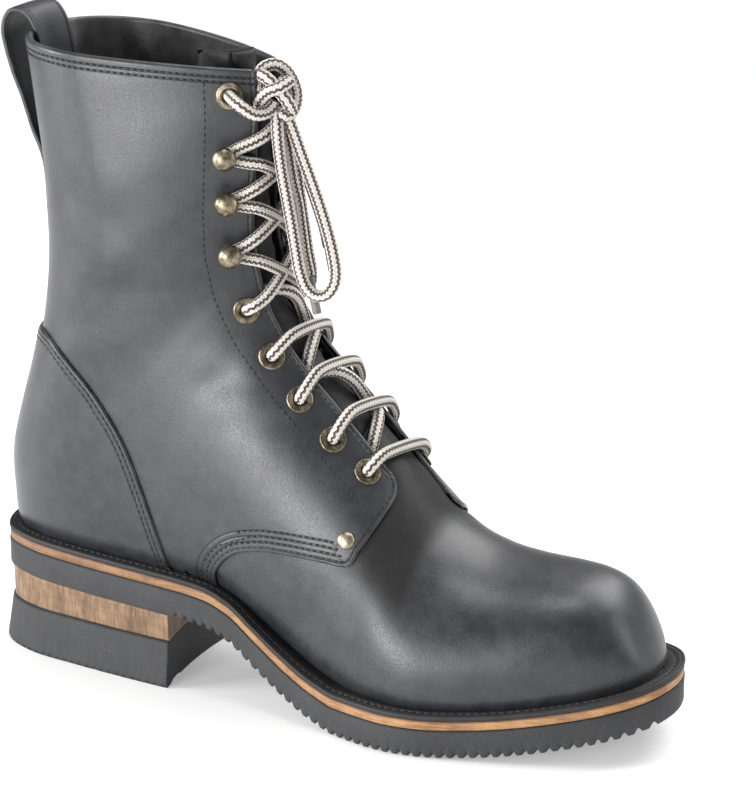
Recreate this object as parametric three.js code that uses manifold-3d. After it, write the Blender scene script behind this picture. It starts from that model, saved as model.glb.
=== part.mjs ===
// Lace-up leather work boot with a stacked heel, the right one of a pair.
// Millimetres, +Z up, the toe along +X and the inner (medial) side along +Y.
import * as THREE from "three";
import { mergeVertices } from "three/addons/utils/BufferGeometryUtils.js";
import Module from "manifold-3d";

const wasm = await Module();
wasm.setup();

// Sole sizes
const length = 311;
const ballWidth = 110;
const heelLength = 95;
const heelRise = 32.5;
const liftHeight = 20;
const liftFlare = 2.5;
const stackInset = 1.5;
const breastDip = 4;
const toeSpring = 16.5;
const springPower = 1.7;
const outsoleThick = 12;
const treadDepth = 2;
const treadPitch = 4.5;
const liftRibPitch = 4;
const liftRibDepth = 1;
const midsoleThick = 4.2;
const weltThick = 2.3;
const weltLedge = 7.5;
const weltSeat = 6;
const insoleAbove = 1;

// Upper sizes
const shaftHeight = 219;
const collarSlope = 0.05;
const instepHeight = 41;
const wall = 1.8;
const layer = 1.2;
const counterThick = 1.4;
const gap = 0.3;
const throatBase = 12.5;
const throatTop = 11;
const medialDrop = 8;
const medialFlap = 14;
const tongueThick = 2;
const tongueSide = 9;
const tongueClear = 1.05;
const loopWidth = 26;
const loopThick = 2.2;

// Hardware and lace sizes
const eyeletOuter = 5;
const eyeletHole = 3;
const eyeletBarrel = 3.5;
const eyeletFlange = 1.1;
const eyeletUnder = 0.3;
const hookBall = 4.9;
const hookStem = 1.7;
const hookBase = 2.8;
const hookUnder = 6.1;
const hookHeight = 5;
const rivetRadius = 3.7;
const rivetHeight = 1.6;
const laceRadius = 2.6;
const tipRadius = 1.9;
const tipLength = 16;

// Outline of the sole: shares of its length, half-widths as shares of the ball width.
const OUTLINE = [
  { at: 0.02, lateral: 0.172, medial: 0.16 },
  { at: 0.07, lateral: 0.256, medial: 0.25 },
  { at: 0.15, lateral: 0.296, medial: 0.295 },
  { at: 0.27, lateral: 0.333, medial: 0.3 },
  { at: 0.42, lateral: 0.365, medial: 0.31 },
  { at: 0.55, lateral: 0.45, medial: 0.39 },
  { at: 0.66, lateral: 0.515, medial: 0.47 },
  { at: 0.77, lateral: 0.455, medial: 0.482 },
  { at: 0.87, lateral: 0.365, medial: 0.42 },
  { at: 0.945, lateral: 0.27, medial: 0.3 },
  { at: 0.985, lateral: 0.16, medial: 0.165 },
];
const TOE_TIP = -0.01;

// Underside of the outsole over the shank: shares of the length and of the heel rise.
const SHANK = [
  { at: 0, rise: 1.09 },
  { at: 0.15, rise: 1.045 },
  { at: 0.305, rise: 1 },
  { at: 0.36, rise: 0.95 },
  { at: 0.4, rise: 0.82 },
  { at: 0.44, rise: 0.57 },
  { at: 0.495, rise: 0.27 },
  { at: 0.54, rise: 0.09 },
  { at: 0.58, rise: 0 },
  { at: 1, rise: 0 },
];
const SPRING_START = 0.7;
const COLLAR_FROM = 0.06;

// Upright sections of the foot, from the toe tip back: distance as a share of the length,
// height above the welt as a share of the instep height, widest point and fullness.
const FOOT = [
  { back: 0.001, rise: 0.03, widest: 0.5, low: 3, high: 2.2 },
  { back: 0.006, rise: 0.16, widest: 0.46, low: 3, high: 2.2 },
  { back: 0.02, rise: 0.41, widest: 0.42, low: 3, high: 2.2 },
  { back: 0.04, rise: 0.7, widest: 0.38, low: 3.2, high: 2.2 },
  { back: 0.065, rise: 0.92, widest: 0.36, low: 3.2, high: 2.25 },
  { back: 0.097, rise: 1.05, widest: 0.34, low: 3.4, high: 2.3 },
  { back: 0.14, rise: 1.13, widest: 0.32, low: 3.5, high: 2.25 },
  { back: 0.2, rise: 1.2, widest: 0.3, low: 3.5, high: 2.15 },
  { back: 0.25, rise: 1.3, widest: 0.29, low: 3.5, high: 2.05 },
  { back: 0.3, rise: 1.49, widest: 0.28, low: 3.6, high: 1.95 },
  { back: 0.347, rise: 1.86, widest: 0.28, low: 3.7, high: 1.9 },
  { back: 0.395, rise: 2.31, widest: 0.29, low: 3.8, high: 1.85 },
  { back: 0.45, rise: 2.68, widest: 0.31, low: 3.9, high: 1.85 },
];
const TUCK = 8;
const BULGE = 1.06;
const INSTEP_RIDGE = 2.5;

// Sections that fan round the heel and climb the shaft: foot of each (share of the length, height
// above the welt as a share of the shaft height), front end (shares of the length and of the
// shaft height above the heel seat), half-width and sideways lean as shares of the ball width,
// widest point, fullness.
const LEG = [
  { foot: 0.4695, rise: -0.036, front: 0.4839, top: 0.4224,
    half: 0.327, side: -0.027, lean: 0.018, widest: 0.36, low: 4, high: 1.9 },
  { foot: 0.3859, rise: -0.036, front: 0.4566, top: 0.4726,
    half: 0.318, side: -0.018, lean: 0.009, widest: 0.38, low: 4, high: 1.9 },
  { foot: 0.2958, rise: -0.036, front: 0.4421, top: 0.5205,
    half: 0.309, side: -0.009, lean: 0, widest: 0.4, low: 3.6, high: 1.9 },
  { foot: 0.2058, rise: -0.036, front: 0.4357, top: 0.5571,
    half: 0.305, side: 0, lean: -0.009, widest: 0.42, low: 3.2, high: 1.85 },
  { foot: 0.1286, rise: -0.036, front: 0.4325, top: 0.5959,
    half: 0.305, side: 0, lean: -0.018, widest: 0.44, low: 2.9, high: 1.8 },
  { foot: 0.0675, rise: -0.032, front: 0.4318, top: 0.6301,
    half: 0.305, side: 0, lean: -0.027, widest: 0.46, low: 2.6, high: 1.75 },
  { foot: 0.0305, rise: -0.005, front: 0.4318, top: 0.6667,
    half: 0.305, side: 0, lean: -0.036, widest: 0.46, low: 2.4, high: 1.7 },
  { foot: 0.0219, rise: 0.06, front: 0.4322, top: 0.7032,
    half: 0.305, side: 0, lean: -0.045, widest: 0.46, low: 2.3, high: 1.65 },
  { foot: 0.0225, rise: 0.146, front: 0.4341, top: 0.7397,
    half: 0.309, side: 0, lean: -0.055, widest: 0.45, low: 2.3, high: 1.6 },
  { foot: 0.0392, rise: 0.241, front: 0.4367, top: 0.7763,
    half: 0.314, side: 0, lean: -0.059, widest: 0.44, low: 2.25, high: 1.55 },
  { foot: 0.0588, rise: 0.333, front: 0.4392, top: 0.8128,
    half: 0.318, side: 0, lean: -0.064, widest: 0.42, low: 2.2, high: 1.5 },
  { foot: 0.0759, rise: 0.429, front: 0.4418, top: 0.8447,
    half: 0.323, side: 0, lean: -0.068, widest: 0.4, low: 2.2, high: 1.48 },
  { foot: 0.0875, rise: 0.539, front: 0.4437, top: 0.8767,
    half: 0.327, side: 0, lean: -0.073, widest: 0.38, low: 2.2, high: 1.45 },
  { foot: 0.0907, rise: 0.648, front: 0.4457, top: 0.9041,
    half: 0.332, side: 0, lean: -0.077, widest: 0.36, low: 2.2, high: 1.43 },
  { foot: 0.0868, rise: 0.753, front: 0.4476, top: 0.9315,
    half: 0.334, side: 0.005, lean: -0.082, widest: 0.34, low: 2.2, high: 1.42 },
  { foot: 0.0778, rise: 0.858, front: 0.4489, top: 0.9589,
    half: 0.334, side: 0.007, lean: -0.085, widest: 0.32, low: 2.2, high: 1.4 },
  { foot: 0.0688, rise: 0.95, front: 0.4495, top: 0.9909,
    half: 0.334, side: 0.009, lean: -0.086, widest: 0.31, low: 2.2, high: 1.4 },
  { foot: 0.0608, rise: 1.03, front: 0.4495, top: 1.0365,
    half: 0.334, side: 0.009, lean: -0.086, widest: 0.3, low: 2.2, high: 1.4 },
  { foot: 0.0547, rise: 1.09, front: 0.4489, top: 1.0959,
    half: 0.334, side: 0.009, lean: -0.086, widest: 0.3, low: 2.2, high: 1.4 },
];

// Places along the boot as shares of the length (x) and of the shaft height above the seat (z).
const QUARTER_EDGE = [
  { x: 0.377, z: -0.1 },
  { x: 0.374, z: -0.02 },
  { x: 0.376, z: 0.003 },
  { x: 0.387, z: 0.029 },
  { x: 0.41, z: 0.056 },
  { x: 0.448, z: 0.071 },
  { x: 0.491, z: 0.075 },
  { x: 0.542, z: 0.075 },
  { x: 0.583, z: 0.077 },
  { x: 0.594, z: 0.108 },
  { x: 0.602, z: 0.13 },
  { x: 0.611, z: 0.164 },
  { x: 0.617, z: 0.2 },
  { x: 0.62, z: 0.24 },
];
const COUNTER_EDGE = [
  { x: 0, z: 0.43 },
  { x: 0.06, z: 0.432 },
  { x: 0.1, z: 0.43 },
  { x: 0.126, z: 0.423 },
  { x: 0.175, z: 0.368 },
  { x: 0.216, z: 0.298 },
  { x: 0.242, z: 0.237 },
  { x: 0.266, z: 0.151 },
  { x: 0.287, z: 0.063 },
  { x: 0.297, z: 0.005 },
  { x: 0.303, z: -0.1 },
];
const EYELETS = [
  { x: 0.388, z: 0.926 },
  { x: 0.402, z: 0.516 },
  { x: 0.4375, z: 0.431 },
  { x: 0.4795, z: 0.3545 },
  { x: 0.5285, z: 0.286 },
  { x: 0.5765, z: 0.23 },
];
const HOOKS = [
  { x: 0.381, z: 0.631 },
  { x: 0.3805, z: 0.731 },
  { x: 0.381, z: 0.817 },
];
const RIVET = { x: 0.573, z: 0.12 };

const colours = {
  leather: 0x56575a,
  leatherDark: 0x3c3c3e,
  rubber: 0x2a2b2d,
  tan: 0xb98f68,
  brown: 0x5a4234,
  brass: 0x8d7f60,
  lace: 0xd9cfc6,
  insole: 0x8a6a4c,
};

// Curve helpers
function along(rows, from, to, x) {
  const xs = rows.map((r) => r[from]);
  const ys = rows.map((r) => r[to]);
  const last = xs.length - 1;
  if (x <= xs[0]) return ys[0];
  if (x >= xs[last]) return ys[last];
  const k = xs.findIndex((v) => v > x) - 1;
  const chord = (i) => (ys[i + 1] - ys[i]) / (xs[i + 1] - xs[i]);
  const slope = (i) => {
    if (i === 0 || i === last) return 0;
    const a = chord(i - 1);
    const b = chord(i);
    return a * b > 0 ? (2 * a * b) / (a + b) : 0;
  };
  const h = xs[k + 1] - xs[k];
  const t = (x - xs[k]) / h;
  const s = 1 - t;
  return (1 + 2 * t) * s * s * ys[k] + t * s * s * h * slope(k)
    + t * t * (3 - 2 * t) * ys[k + 1] - t * t * s * h * slope(k + 1);
}

function blend(rows, key, v) {
  const last = rows.length - 1;
  const i = Math.min(Math.max(Math.floor(v), 0), last - 1);
  const t = v - i;
  const at = (k) => rows[Math.min(Math.max(k, 0), last)][key];
  const [a, b, c, d] = [at(i - 1), at(i), at(i + 1), at(i + 2)];
  return 0.5 * (2 * b + (c - a) * t + (2 * a - 5 * b + 4 * c - d) * t * t
    + (3 * b - a - 3 * c + d) * t * t * t);
}

// Heights of the sole at a place along it
const sprung = (x) => Math.max(0, (x / length - SPRING_START) / (1 - SPRING_START));
const spring = (x) => toeSpring * sprung(x) ** springPower;
const tread = (x) => heelRise * along(SHANK, "at", "rise", x / length) + spring(x);
const outsoleTop = (x) => tread(x) + outsoleThick;
const midsoleTop = (x) => outsoleTop(x) + midsoleThick;
const weltTop = (x) => midsoleTop(x) + weltThick;
const seat = weltTop(0);
const collar = (x) => seat + shaftHeight - collarSlope * (x - COLLAR_FROM * length);

// Closed outline of the sole, moved inward by an inset
const outline = new THREE.CatmullRomCurve3(
  [
    new THREE.Vector3(0, 0, 0),
    ...OUTLINE.map((r) => new THREE.Vector3(r.at * length, -r.lateral * ballWidth, 0)),
    new THREE.Vector3(length, TOE_TIP * ballWidth, 0),
    ...[...OUTLINE].reverse().map((r) => new THREE.Vector3(r.at * length, r.medial * ballWidth, 0)),
  ],
  true,
  "centripetal",
);

function loop(inset, count = 56) {
  const points = [];
  for (let i = 0; i < count; i += 1) {
    const p = outline.getPointAt(i / count);
    const t = outline.getTangentAt(i / count);
    points.push(new THREE.Vector2(p.x - inset * t.y, p.y + inset * t.x));
  }
  return points;
}

const feather = loop(weltLedge, 240);
const toeX = Math.max(...feather.map((p) => p.x));

function featherSide(x, side) {
  let best = 0;
  for (let i = 0; i < feather.length; i += 1) {
    const a = feather[i];
    const b = feather[(i + 1) % feather.length];
    if ((a.x - x) * (b.x - x) > 0 || a.x === b.x) continue;
    if (Math.sign(b.x - a.x) !== -side) continue;
    best = a.y + ((b.y - a.y) * (x - a.x)) / (b.x - a.x);
  }
  return best;
}

// Sections of the last form, each in a plane that holds the Y direction
function footRow(row) {
  const x = toeX - row.back * length;
  const medial = featherSide(x, 1);
  const lateral = featherSide(x, -1);
  return {
    bx: x,
    bz: weltTop(x) - TUCK,
    fx: x,
    fz: weltTop(x) + row.rise * instepHeight,
    half: (BULGE * (medial - lateral)) / 2,
    centre: (medial + lateral) / 2,
    ridge: INSTEP_RIDGE * Math.min(1, row.back / 0.2),
    widest: row.widest,
    low: row.low,
    high: row.high,
  };
}

function legRow(row) {
  const x = row.foot * length;
  return {
    bx: x,
    bz: weltTop(x) + row.rise * shaftHeight,
    fx: row.front * length,
    fz: seat + row.top * shaftHeight,
    half: row.half * ballWidth,
    centre: row.side * ballWidth,
    ridge: row.lean * ballWidth,
    widest: row.widest,
    low: row.low,
    high: row.high,
  };
}

const rows = [...FOOT.map(footRow), ...LEG.map(legRow)];
const lastRow = rows.length - 1;

// Point of the form: row value v from toe to collar, turn from -1 (foot of the section, lateral)
// through 0 (front end) to 1 (foot again, medial).
function formPoint(v, turn) {
  const get = (key) => blend(rows, key, v);
  const angle = Math.PI * (1 - Math.abs(turn));
  const low = angle < Math.PI / 2;
  const power = 2 / (low ? get("low") : get("high"));
  const widest = get("widest");
  const rise = Math.abs(Math.cos(angle)) ** power;
  const u = low ? widest * (1 - rise) : widest + (1 - widest) * rise;
  const w = Math.abs(Math.sin(angle)) ** power * get("half") * Math.sign(turn);
  return new THREE.Vector3(
    get("bx") + u * (get("fx") - get("bx")),
    get("centre") * (1 - u) + w + get("ridge") * u * u,
    get("bz") + u * (get("fz") - get("bz")),
  );
}

function formNormal(v, turn) {
  const dv = 0.02;
  const dt = 0.004;
  const a = formPoint(Math.min(v + dv, lastRow), turn).sub(formPoint(Math.max(v - dv, 0), turn));
  const b = formPoint(v, turn + dt).sub(formPoint(v, turn - dt));
  return b.cross(a).normalize();
}

function onForm(v, turn, grow) {
  return formPoint(v, turn).addScaledVector(formNormal(v, turn), grow);
}

// Where a side-view place lies on the form: row value and turn
function locate(x, z, side) {
  const off = (v) => {
    const bx = blend(rows, "bx", v);
    const bz = blend(rows, "bz", v);
    const fx = blend(rows, "fx", v);
    const fz = blend(rows, "fz", v);
    return (fx - bx) * (z - bz) - (fz - bz) * (x - bx);
  };
  let low = 1;
  let high = lastRow;
  for (let i = 0; i < 40; i += 1) {
    const mid = (low + high) / 2;
    if (off(mid) > 0) low = mid;
    else high = mid;
  }
  const v = (low + high) / 2;
  let near = 0.5;
  let far = 0;
  for (let i = 0; i < 40; i += 1) {
    const mid = (near + far) / 2;
    const p = formPoint(v, side * mid);
    const reach = Math.hypot(p.x - blend(rows, "bx", v), p.z - blend(rows, "bz", v));
    if (reach > Math.hypot(x - blend(rows, "bx", v), z - blend(rows, "bz", v))) far = mid;
    else near = mid;
  }
  return { v, turn: (side * (near + far)) / 2 };
}

// Solids
function closed(positions, triangles) {
  let volume = 0;
  const p = (i) => new THREE.Vector3(...positions[i]);
  for (const [a, b, c] of triangles) volume += p(a).dot(p(b).cross(p(c)));
  const turned = volume < 0 ? triangles.map(([a, b, c]) => [a, c, b]) : triangles;
  return new wasm.Manifold(new wasm.Mesh({
    numProp: 3,
    vertProperties: new Float32Array(positions.flat()),
    triVerts: new Uint32Array(turned.flat()),
  }));
}

function fromGeometry(geometry) {
  const bare = geometry.clone();
  bare.deleteAttribute("normal");
  bare.deleteAttribute("uv");
  const merged = mergeVertices(bare, 1e-4);
  const at = merged.attributes.position;
  const positions = [];
  for (let i = 0; i < at.count; i += 1) positions.push([at.getX(i), at.getY(i), at.getZ(i)]);
  const index = Array.from(merged.index.array);
  const triangles = [];
  for (let i = 0; i < index.length; i += 3) {
    const [a, b, c] = index.slice(i, i + 3);
    if (a !== b && b !== c && a !== c) triangles.push([a, b, c]);
  }
  return closed(positions, triangles);
}

function loft(rings) {
  const count = rings[0].length;
  const positions = rings.flat().map((p) => [p.x, p.y, p.z]);
  const triangles = [];
  for (let i = 0; i + 1 < rings.length; i += 1) {
    for (let j = 0; j < count; j += 1) {
      const a = i * count + j;
      const b = i * count + ((j + 1) % count);
      triangles.push([a, b, a + count], [b, b + count, a + count]);
    }
  }
  const cap = (ring, start, flip) => {
    const centre = ring.reduce((s, p) => s.add(p), new THREE.Vector3()).divideScalar(count);
    positions.push([centre.x, centre.y, centre.z]);
    for (let j = 0; j < count; j += 1) {
      const a = start + j;
      const b = start + ((j + 1) % count);
      triangles.push(flip ? [b, a, positions.length - 1] : [a, b, positions.length - 1]);
    }
  };
  cap(rings[0], 0, true);
  cap(rings[rings.length - 1], (rings.length - 1) * count, false);
  return closed(positions, triangles);
}

function formSolid(grow, rings = 27, turns = 20) {
  const list = [];
  for (let i = 0; i <= rings; i += 1) {
    const v = (i / rings) * lastRow;
    const ring = [];
    for (let j = 0; j < turns; j += 1) ring.push(onForm(v, -1 + (2 * j + 1) / turns, grow));
    list.push(ring);
  }
  return loft(list);
}

function planPrism(points, low, high) {
  const shape = new THREE.Shape(points.map((p) => new THREE.Vector2(p.x, p.y)));
  const geometry = new THREE.ExtrudeGeometry(shape, { depth: high - low, bevelEnabled: false });
  geometry.translate(0, 0, low);
  return fromGeometry(geometry);
}

function sidePrism(points, from, to) {
  const shape = new THREE.Shape(points.map((p) => new THREE.Vector2(p.x, p.y)));
  const geometry = new THREE.ExtrudeGeometry(shape, { depth: to - from, bevelEnabled: false });
  geometry.rotateX(Math.PI / 2);
  geometry.translate(0, to, 0);
  return fromGeometry(geometry);
}

const farOut = 200;
const behind = 40;
const stations = 30;

function band(low, high, count = stations) {
  const xs = Array.from({ length: count + 1 }, (_, i) => -10 + ((length + 20) * i) / count);
  const under = xs.map((x) => new THREE.Vector2(x, low(x)));
  const over = xs.map((x) => new THREE.Vector2(x, high(x))).reverse();
  return sidePrism([...under, ...over], -farOut, farOut);
}

function slab(inset, low, high) {
  return planPrism(loop(inset), -farOut, farOut).intersect(band(low, high));
}

function regionOf(table, closing, from = -farOut, to = farOut, ahead = 0) {
  const first = table[0].x;
  const last = table[table.length - 1].x;
  const points = table.map((r) => {
    const share = Math.max(0, (r.x - first) / (last - first));
    return new THREE.Vector2(r.x * length + ahead * share, seat + r.z * shaftHeight);
  });
  return sidePrism([...points, ...closing], from, to);
}

function tube(points, radius, steps, sides = 8) {
  const section = Array.from({ length: sides }, (_, i) => {
    const a = (2 * Math.PI * i) / sides;
    return new THREE.Vector2(radius * Math.cos(a), radius * Math.sin(a));
  });
  const path = new THREE.CatmullRomCurve3(points);
  const options = { steps, extrudePath: path, bevelEnabled: false };
  return fromGeometry(new THREE.ExtrudeGeometry(new THREE.Shape(section), options));
}

function turned(profile, segments) {
  return new THREE.LatheGeometry(profile.map(([r, h]) => new THREE.Vector2(r, h)), segments);
}

// A spot of a table on one side; the medial facing sits lower along the throat
function place(spot, side) {
  const x = spot.x * length;
  const z = seat + spot.z * shaftHeight;
  if (side < 0) return locate(x, z, side);
  const { v } = locate(x, z, side);
  const down = formPoint(v - 0.1, 0).sub(formPoint(v + 0.1, 0)).setY(0).setLength(medialDrop);
  return locate(x + down.x, z + down.z, side);
}

function seated(geometry, spot, side, lift) {
  const { v, turn } = place(spot, side);
  const normal = formNormal(v, turn);
  const turnTo = new THREE.Quaternion().setFromUnitVectors(new THREE.Vector3(0, 1, 0), normal);
  const copy = geometry.clone().applyQuaternion(turnTo);
  const at = onForm(v, turn, layer + lift);
  return copy.translate(at.x, at.y, at.z);
}

const group = new THREE.Group();

function add(name, solid, colour, roughness = 0.6, metalness = 0) {
  const mesh = solid.getMesh();
  const geometry = new THREE.BufferGeometry();
  geometry.setAttribute("position", new THREE.BufferAttribute(new Float32Array(mesh.vertProperties), 3));
  geometry.setIndex(new THREE.BufferAttribute(new Uint32Array(mesh.triVerts), 1));
  geometry.computeVertexNormals();
  const material = new THREE.MeshStandardMaterial({ color: colour, roughness, metalness });
  const part = new THREE.Mesh(geometry, material);
  part.name = name;
  group.add(part);
}

// Outsole with flat-topped cross ribs from the heel breast to the toe
const treadStart = heelLength + 3;
const treadCount = Math.floor((length - 4 - treadStart) / treadPitch);

function seatLine(drop) {
  const end = heelLength + 1;
  return Array.from({ length: 9 }, (_, i) => {
    const x = -10 + ((end + 10) * i) / 8;
    return new THREE.Vector2(x, tread(Math.min(x, end)) - drop);
  });
}

function treadProfile() {
  const points = seatLine(0);
  for (let i = 0; i < treadCount; i += 1) {
    const x = treadStart + i * treadPitch;
    points.push(new THREE.Vector2(x, tread(x)));
    points.push(new THREE.Vector2(x + 0.15 * treadPitch, tread(x) + treadDepth));
    points.push(new THREE.Vector2(x + 0.4 * treadPitch, tread(x) + treadDepth));
    points.push(new THREE.Vector2(x + 0.55 * treadPitch, tread(x)));
  }
  points.push(new THREE.Vector2(length + 10, tread(length)));
  for (let i = stations; i >= 0; i -= 1) {
    const x = -10 + ((length + 20) * i) / stations;
    points.push(new THREE.Vector2(x, outsoleTop(x)));
  }
  return sidePrism(points, -farOut, farOut);
}

const plan = planPrism(loop(0), -farOut, farOut);
add("outsole", plan.intersect(treadProfile()), colours.rubber, 0.75);
add("midsole", slab(0.3, (x) => outsoleTop(x) + gap, midsoleTop), colours.tan, 0.6);
const weltHole = planPrism(loop(weltLedge + weltSeat), -farOut, farOut);
const weltRing = slab(0, (x) => midsoleTop(x) + gap, weltTop).subtract(weltHole);
add("welt", weltRing, colours.leatherDark, 0.5);

// Heel: stacked leather, then a flared rubber lift with ribs, both with a hollow breast
function heelPlan() {
  const half = 0.6 * ballWidth;
  const points = [new THREE.Vector2(-30, -half)];
  for (let i = 0; i <= 12; i += 1) {
    const y = half * (-1 + i / 6);
    const share = Math.min(1, Math.abs(y) / (0.35 * ballWidth));
    points.push(new THREE.Vector2(heelLength - breastDip * (1 - share * share), y));
  }
  points.push(new THREE.Vector2(-30, half));
  return points;
}

const heelCut = planPrism(heelPlan(), -farOut, farOut);
const stackBand = sidePrism([
  ...seatLine(gap),
  new THREE.Vector2(heelLength + 1, liftHeight + gap),
  new THREE.Vector2(-10, liftHeight + gap),
], -farOut, farOut);
const stack = planPrism(loop(stackInset), -farOut, farOut).intersect(stackBand).intersect(heelCut);
add("heel_stack", stack, colours.brown, 0.6);

const liftRing = (inset, z) => loop(inset).map((p) => new THREE.Vector3(p.x, p.y, z));
const liftBody = loft([liftRing(-liftFlare, -liftRibDepth), liftRing(0.6, liftHeight)]);

function liftProfile() {
  const points = [new THREE.Vector2(-30, liftRibDepth), new THREE.Vector2(2, liftRibDepth)];
  for (let x = 2; x < heelLength + 4; x += liftRibPitch) {
    points.push(new THREE.Vector2(x, 0), new THREE.Vector2(x + 0.6 * liftRibPitch, 0));
    points.push(new THREE.Vector2(x + 0.6 * liftRibPitch + 0.1, liftRibDepth));
    points.push(new THREE.Vector2(x + liftRibPitch - 0.1, liftRibDepth));
  }
  points.push(new THREE.Vector2(heelLength + 30, liftRibDepth));
  points.push(new THREE.Vector2(heelLength + 30, liftHeight + 10), new THREE.Vector2(-30, liftHeight + 10));
  return sidePrism(points, -farOut, farOut);
}

add("heel_lift", liftBody.intersect(liftProfile()).intersect(heelCut), colours.rubber, 0.75);

// Upper: one shell, the quarters a step in its wall, open at collar, throat and underneath
const top = seat + shaftHeight * 1.2;
const ahead = 1.2 * length;
const below = band(() => -farOut, (x) => weltTop(x) + gap);
const aboveCollar = sidePrism([
  new THREE.Vector2(-behind, collar(-40)),
  new THREE.Vector2(length, collar(length)),
  new THREE.Vector2(length, 2 * top),
  new THREE.Vector2(-behind, 2 * top),
], -farOut, farOut);
const quarterRest = [
  new THREE.Vector2(ahead, seat + 0.4 * shaftHeight),
  new THREE.Vector2(ahead, 2 * top),
  new THREE.Vector2(-behind, 2 * top),
  new THREE.Vector2(-behind, 0),
];
const quarterLateral = regionOf(QUARTER_EDGE, quarterRest, -farOut, 0);
const quarterMedial = regionOf(QUARTER_EDGE, quarterRest, 0, farOut, medialFlap);
const quarter = quarterLateral.add(quarterMedial);

// Rows of the throat, from its lower end to above the collar
const throatFirst = locate(0.615 * length, seat + 0.18 * shaftHeight, 1).v;

function throatBox(inner, outer, halfAt, from = throatFirst) {
  const list = [];
  const steps = 16;
  for (let i = 0; i <= steps; i += 1) {
    const v = from + ((lastRow - from) * i) / steps;
    const p = formPoint(v, 0);
    const n = formNormal(v, 0);
    const half = halfAt(i / steps);
    const corner = (reach, side) => p.clone().addScaledVector(n, reach).setY(p.y + side * half);
    list.push([corner(-inner, -1), corner(outer, -1), corner(outer, 1), corner(-inner, 1)]);
  }
  return loft(list);
}

const throatWidth = (t) => throatBase + (throatTop - throatBase) * t;
const cutUnder = 14;
const cutOver = 12;
const facingRows = 1.6;
const throat = throatBox(cutUnder, cutOver, throatWidth);
const facings = throatBox(cutUnder, cutOver, throatWidth, throatFirst - facingRows);
const eyeletCutter = new THREE.CylinderGeometry(eyeletBarrel + gap, eyeletBarrel + gap, cutUnder, 8);
const sides = [-1, 1];
const inside = formSolid(-wall);
let upper = formSolid(0).add(formSolid(layer).intersect(quarter).subtract(facings)).subtract(inside);
upper = upper.subtract(below).subtract(aboveCollar).subtract(throat);
for (const spot of EYELETS) {
  for (const side of sides) upper = upper.subtract(fromGeometry(seated(eyeletCutter, spot, side, 0)));
}
add("upper", upper, colours.leather, 0.45);

// Insole inside the welt ring
const insolePlan = slab(
  weltLedge + weltSeat + gap,
  (x) => midsoleTop(x) + gap,
  (x) => weltTop(x) + insoleAbove,
);
add("insole", insolePlan.intersect(formSolid(-wall - gap)), colours.insole, 0.8);

// Counter over the heel
const counterShell = formSolid(layer + gap + counterThick).subtract(formSolid(layer + gap));
const counterArea = regionOf(COUNTER_EDGE, [
  new THREE.Vector2(-behind, 0),
  new THREE.Vector2(-behind, seat + 0.44 * shaftHeight),
]);
add("heel_counter", counterShell.intersect(counterArea).subtract(below), colours.leather, 0.45);

// Tongue under the throat: flat across the gap, then along the inside of the quarters
const tongueOuter = -wall - tongueClear;
const tongueFirst = throatFirst - 1.2;
const tongueLast = locate(0.44 * length, collar(0.4 * length) - 2, 1).v;

function throatHalf(v) {
  const t = Math.max(0, (v - throatFirst) / (lastRow - throatFirst));
  return throatBase + (throatTop - throatBase) * t;
}

// Turn at which the form lies a distance to the side of its ridge
function turnAt(v, reach) {
  const ridge = formPoint(v, 0).y;
  let near = 0;
  let far = 0.5;
  for (let i = 0; i < 30; i += 1) {
    const mid = (near + far) / 2;
    if (formPoint(v, mid).y - ridge > reach) far = mid;
    else near = mid;
  }
  return (near + far) / 2;
}

function tongueRing(v) {
  const edge = turnAt(v, throatHalf(v));
  const end = turnAt(v, throatHalf(v) + tongueSide);
  const turns = [-end, (-2 * end - edge) / 3, (-end - 2 * edge) / 3, -edge, 0, edge,
    (end + 2 * edge) / 3, (2 * end + edge) / 3, end];
  const face = (grow) => {
    const line = turns.map((turn) => onForm(v, turn, grow));
    line[4] = line[3].clone().add(line[5]).divideScalar(2);
    return line;
  };
  return [...face(tongueOuter), ...face(tongueOuter - tongueThick).reverse()];
}

const tongueRows = Array.from({ length: 15 }, (_, i) => tongueFirst + ((tongueLast - tongueFirst) * i) / 14);
add("tongue", loft(tongueRows.map(tongueRing)), colours.leatherDark, 0.6);

// Pull loop: from inside the back of the collar, over it, and down the back seam
const innerLeg = wall + gap + loopThick / 2;
const outerLeg = layer + gap + loopThick / 2;
const LOOP = [
  { x: innerLeg, z: 0.85, sag: 3.2 },
  { x: innerLeg, z: 0.92, sag: 3.2 },
  { x: innerLeg, z: 0.985, sag: 2.4 },
  { x: 0.6, z: 1.024, sag: 1 },
  { x: -4, z: 1.035, sag: 0.6 },
  { x: -9, z: 1.028, sag: 0.6 },
  { x: -11.6, z: 1.0, sag: 0.6 },
  { x: -12, z: 0.965, sag: 0.8 },
  { x: -10.5, z: 0.915, sag: 1.2 },
  { x: -8, z: 0.865, sag: 1.8 },
  { x: -6, z: 0.81, sag: 2.4 },
  { x: -outerLeg, z: 0.745, sag: 3 },
  { x: -outerLeg, z: 0.65, sag: 3 },
  { x: -outerLeg, z: 0.55, sag: 3 },
  { x: -outerLeg, z: 0.455, sag: 3 },
];

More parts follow.
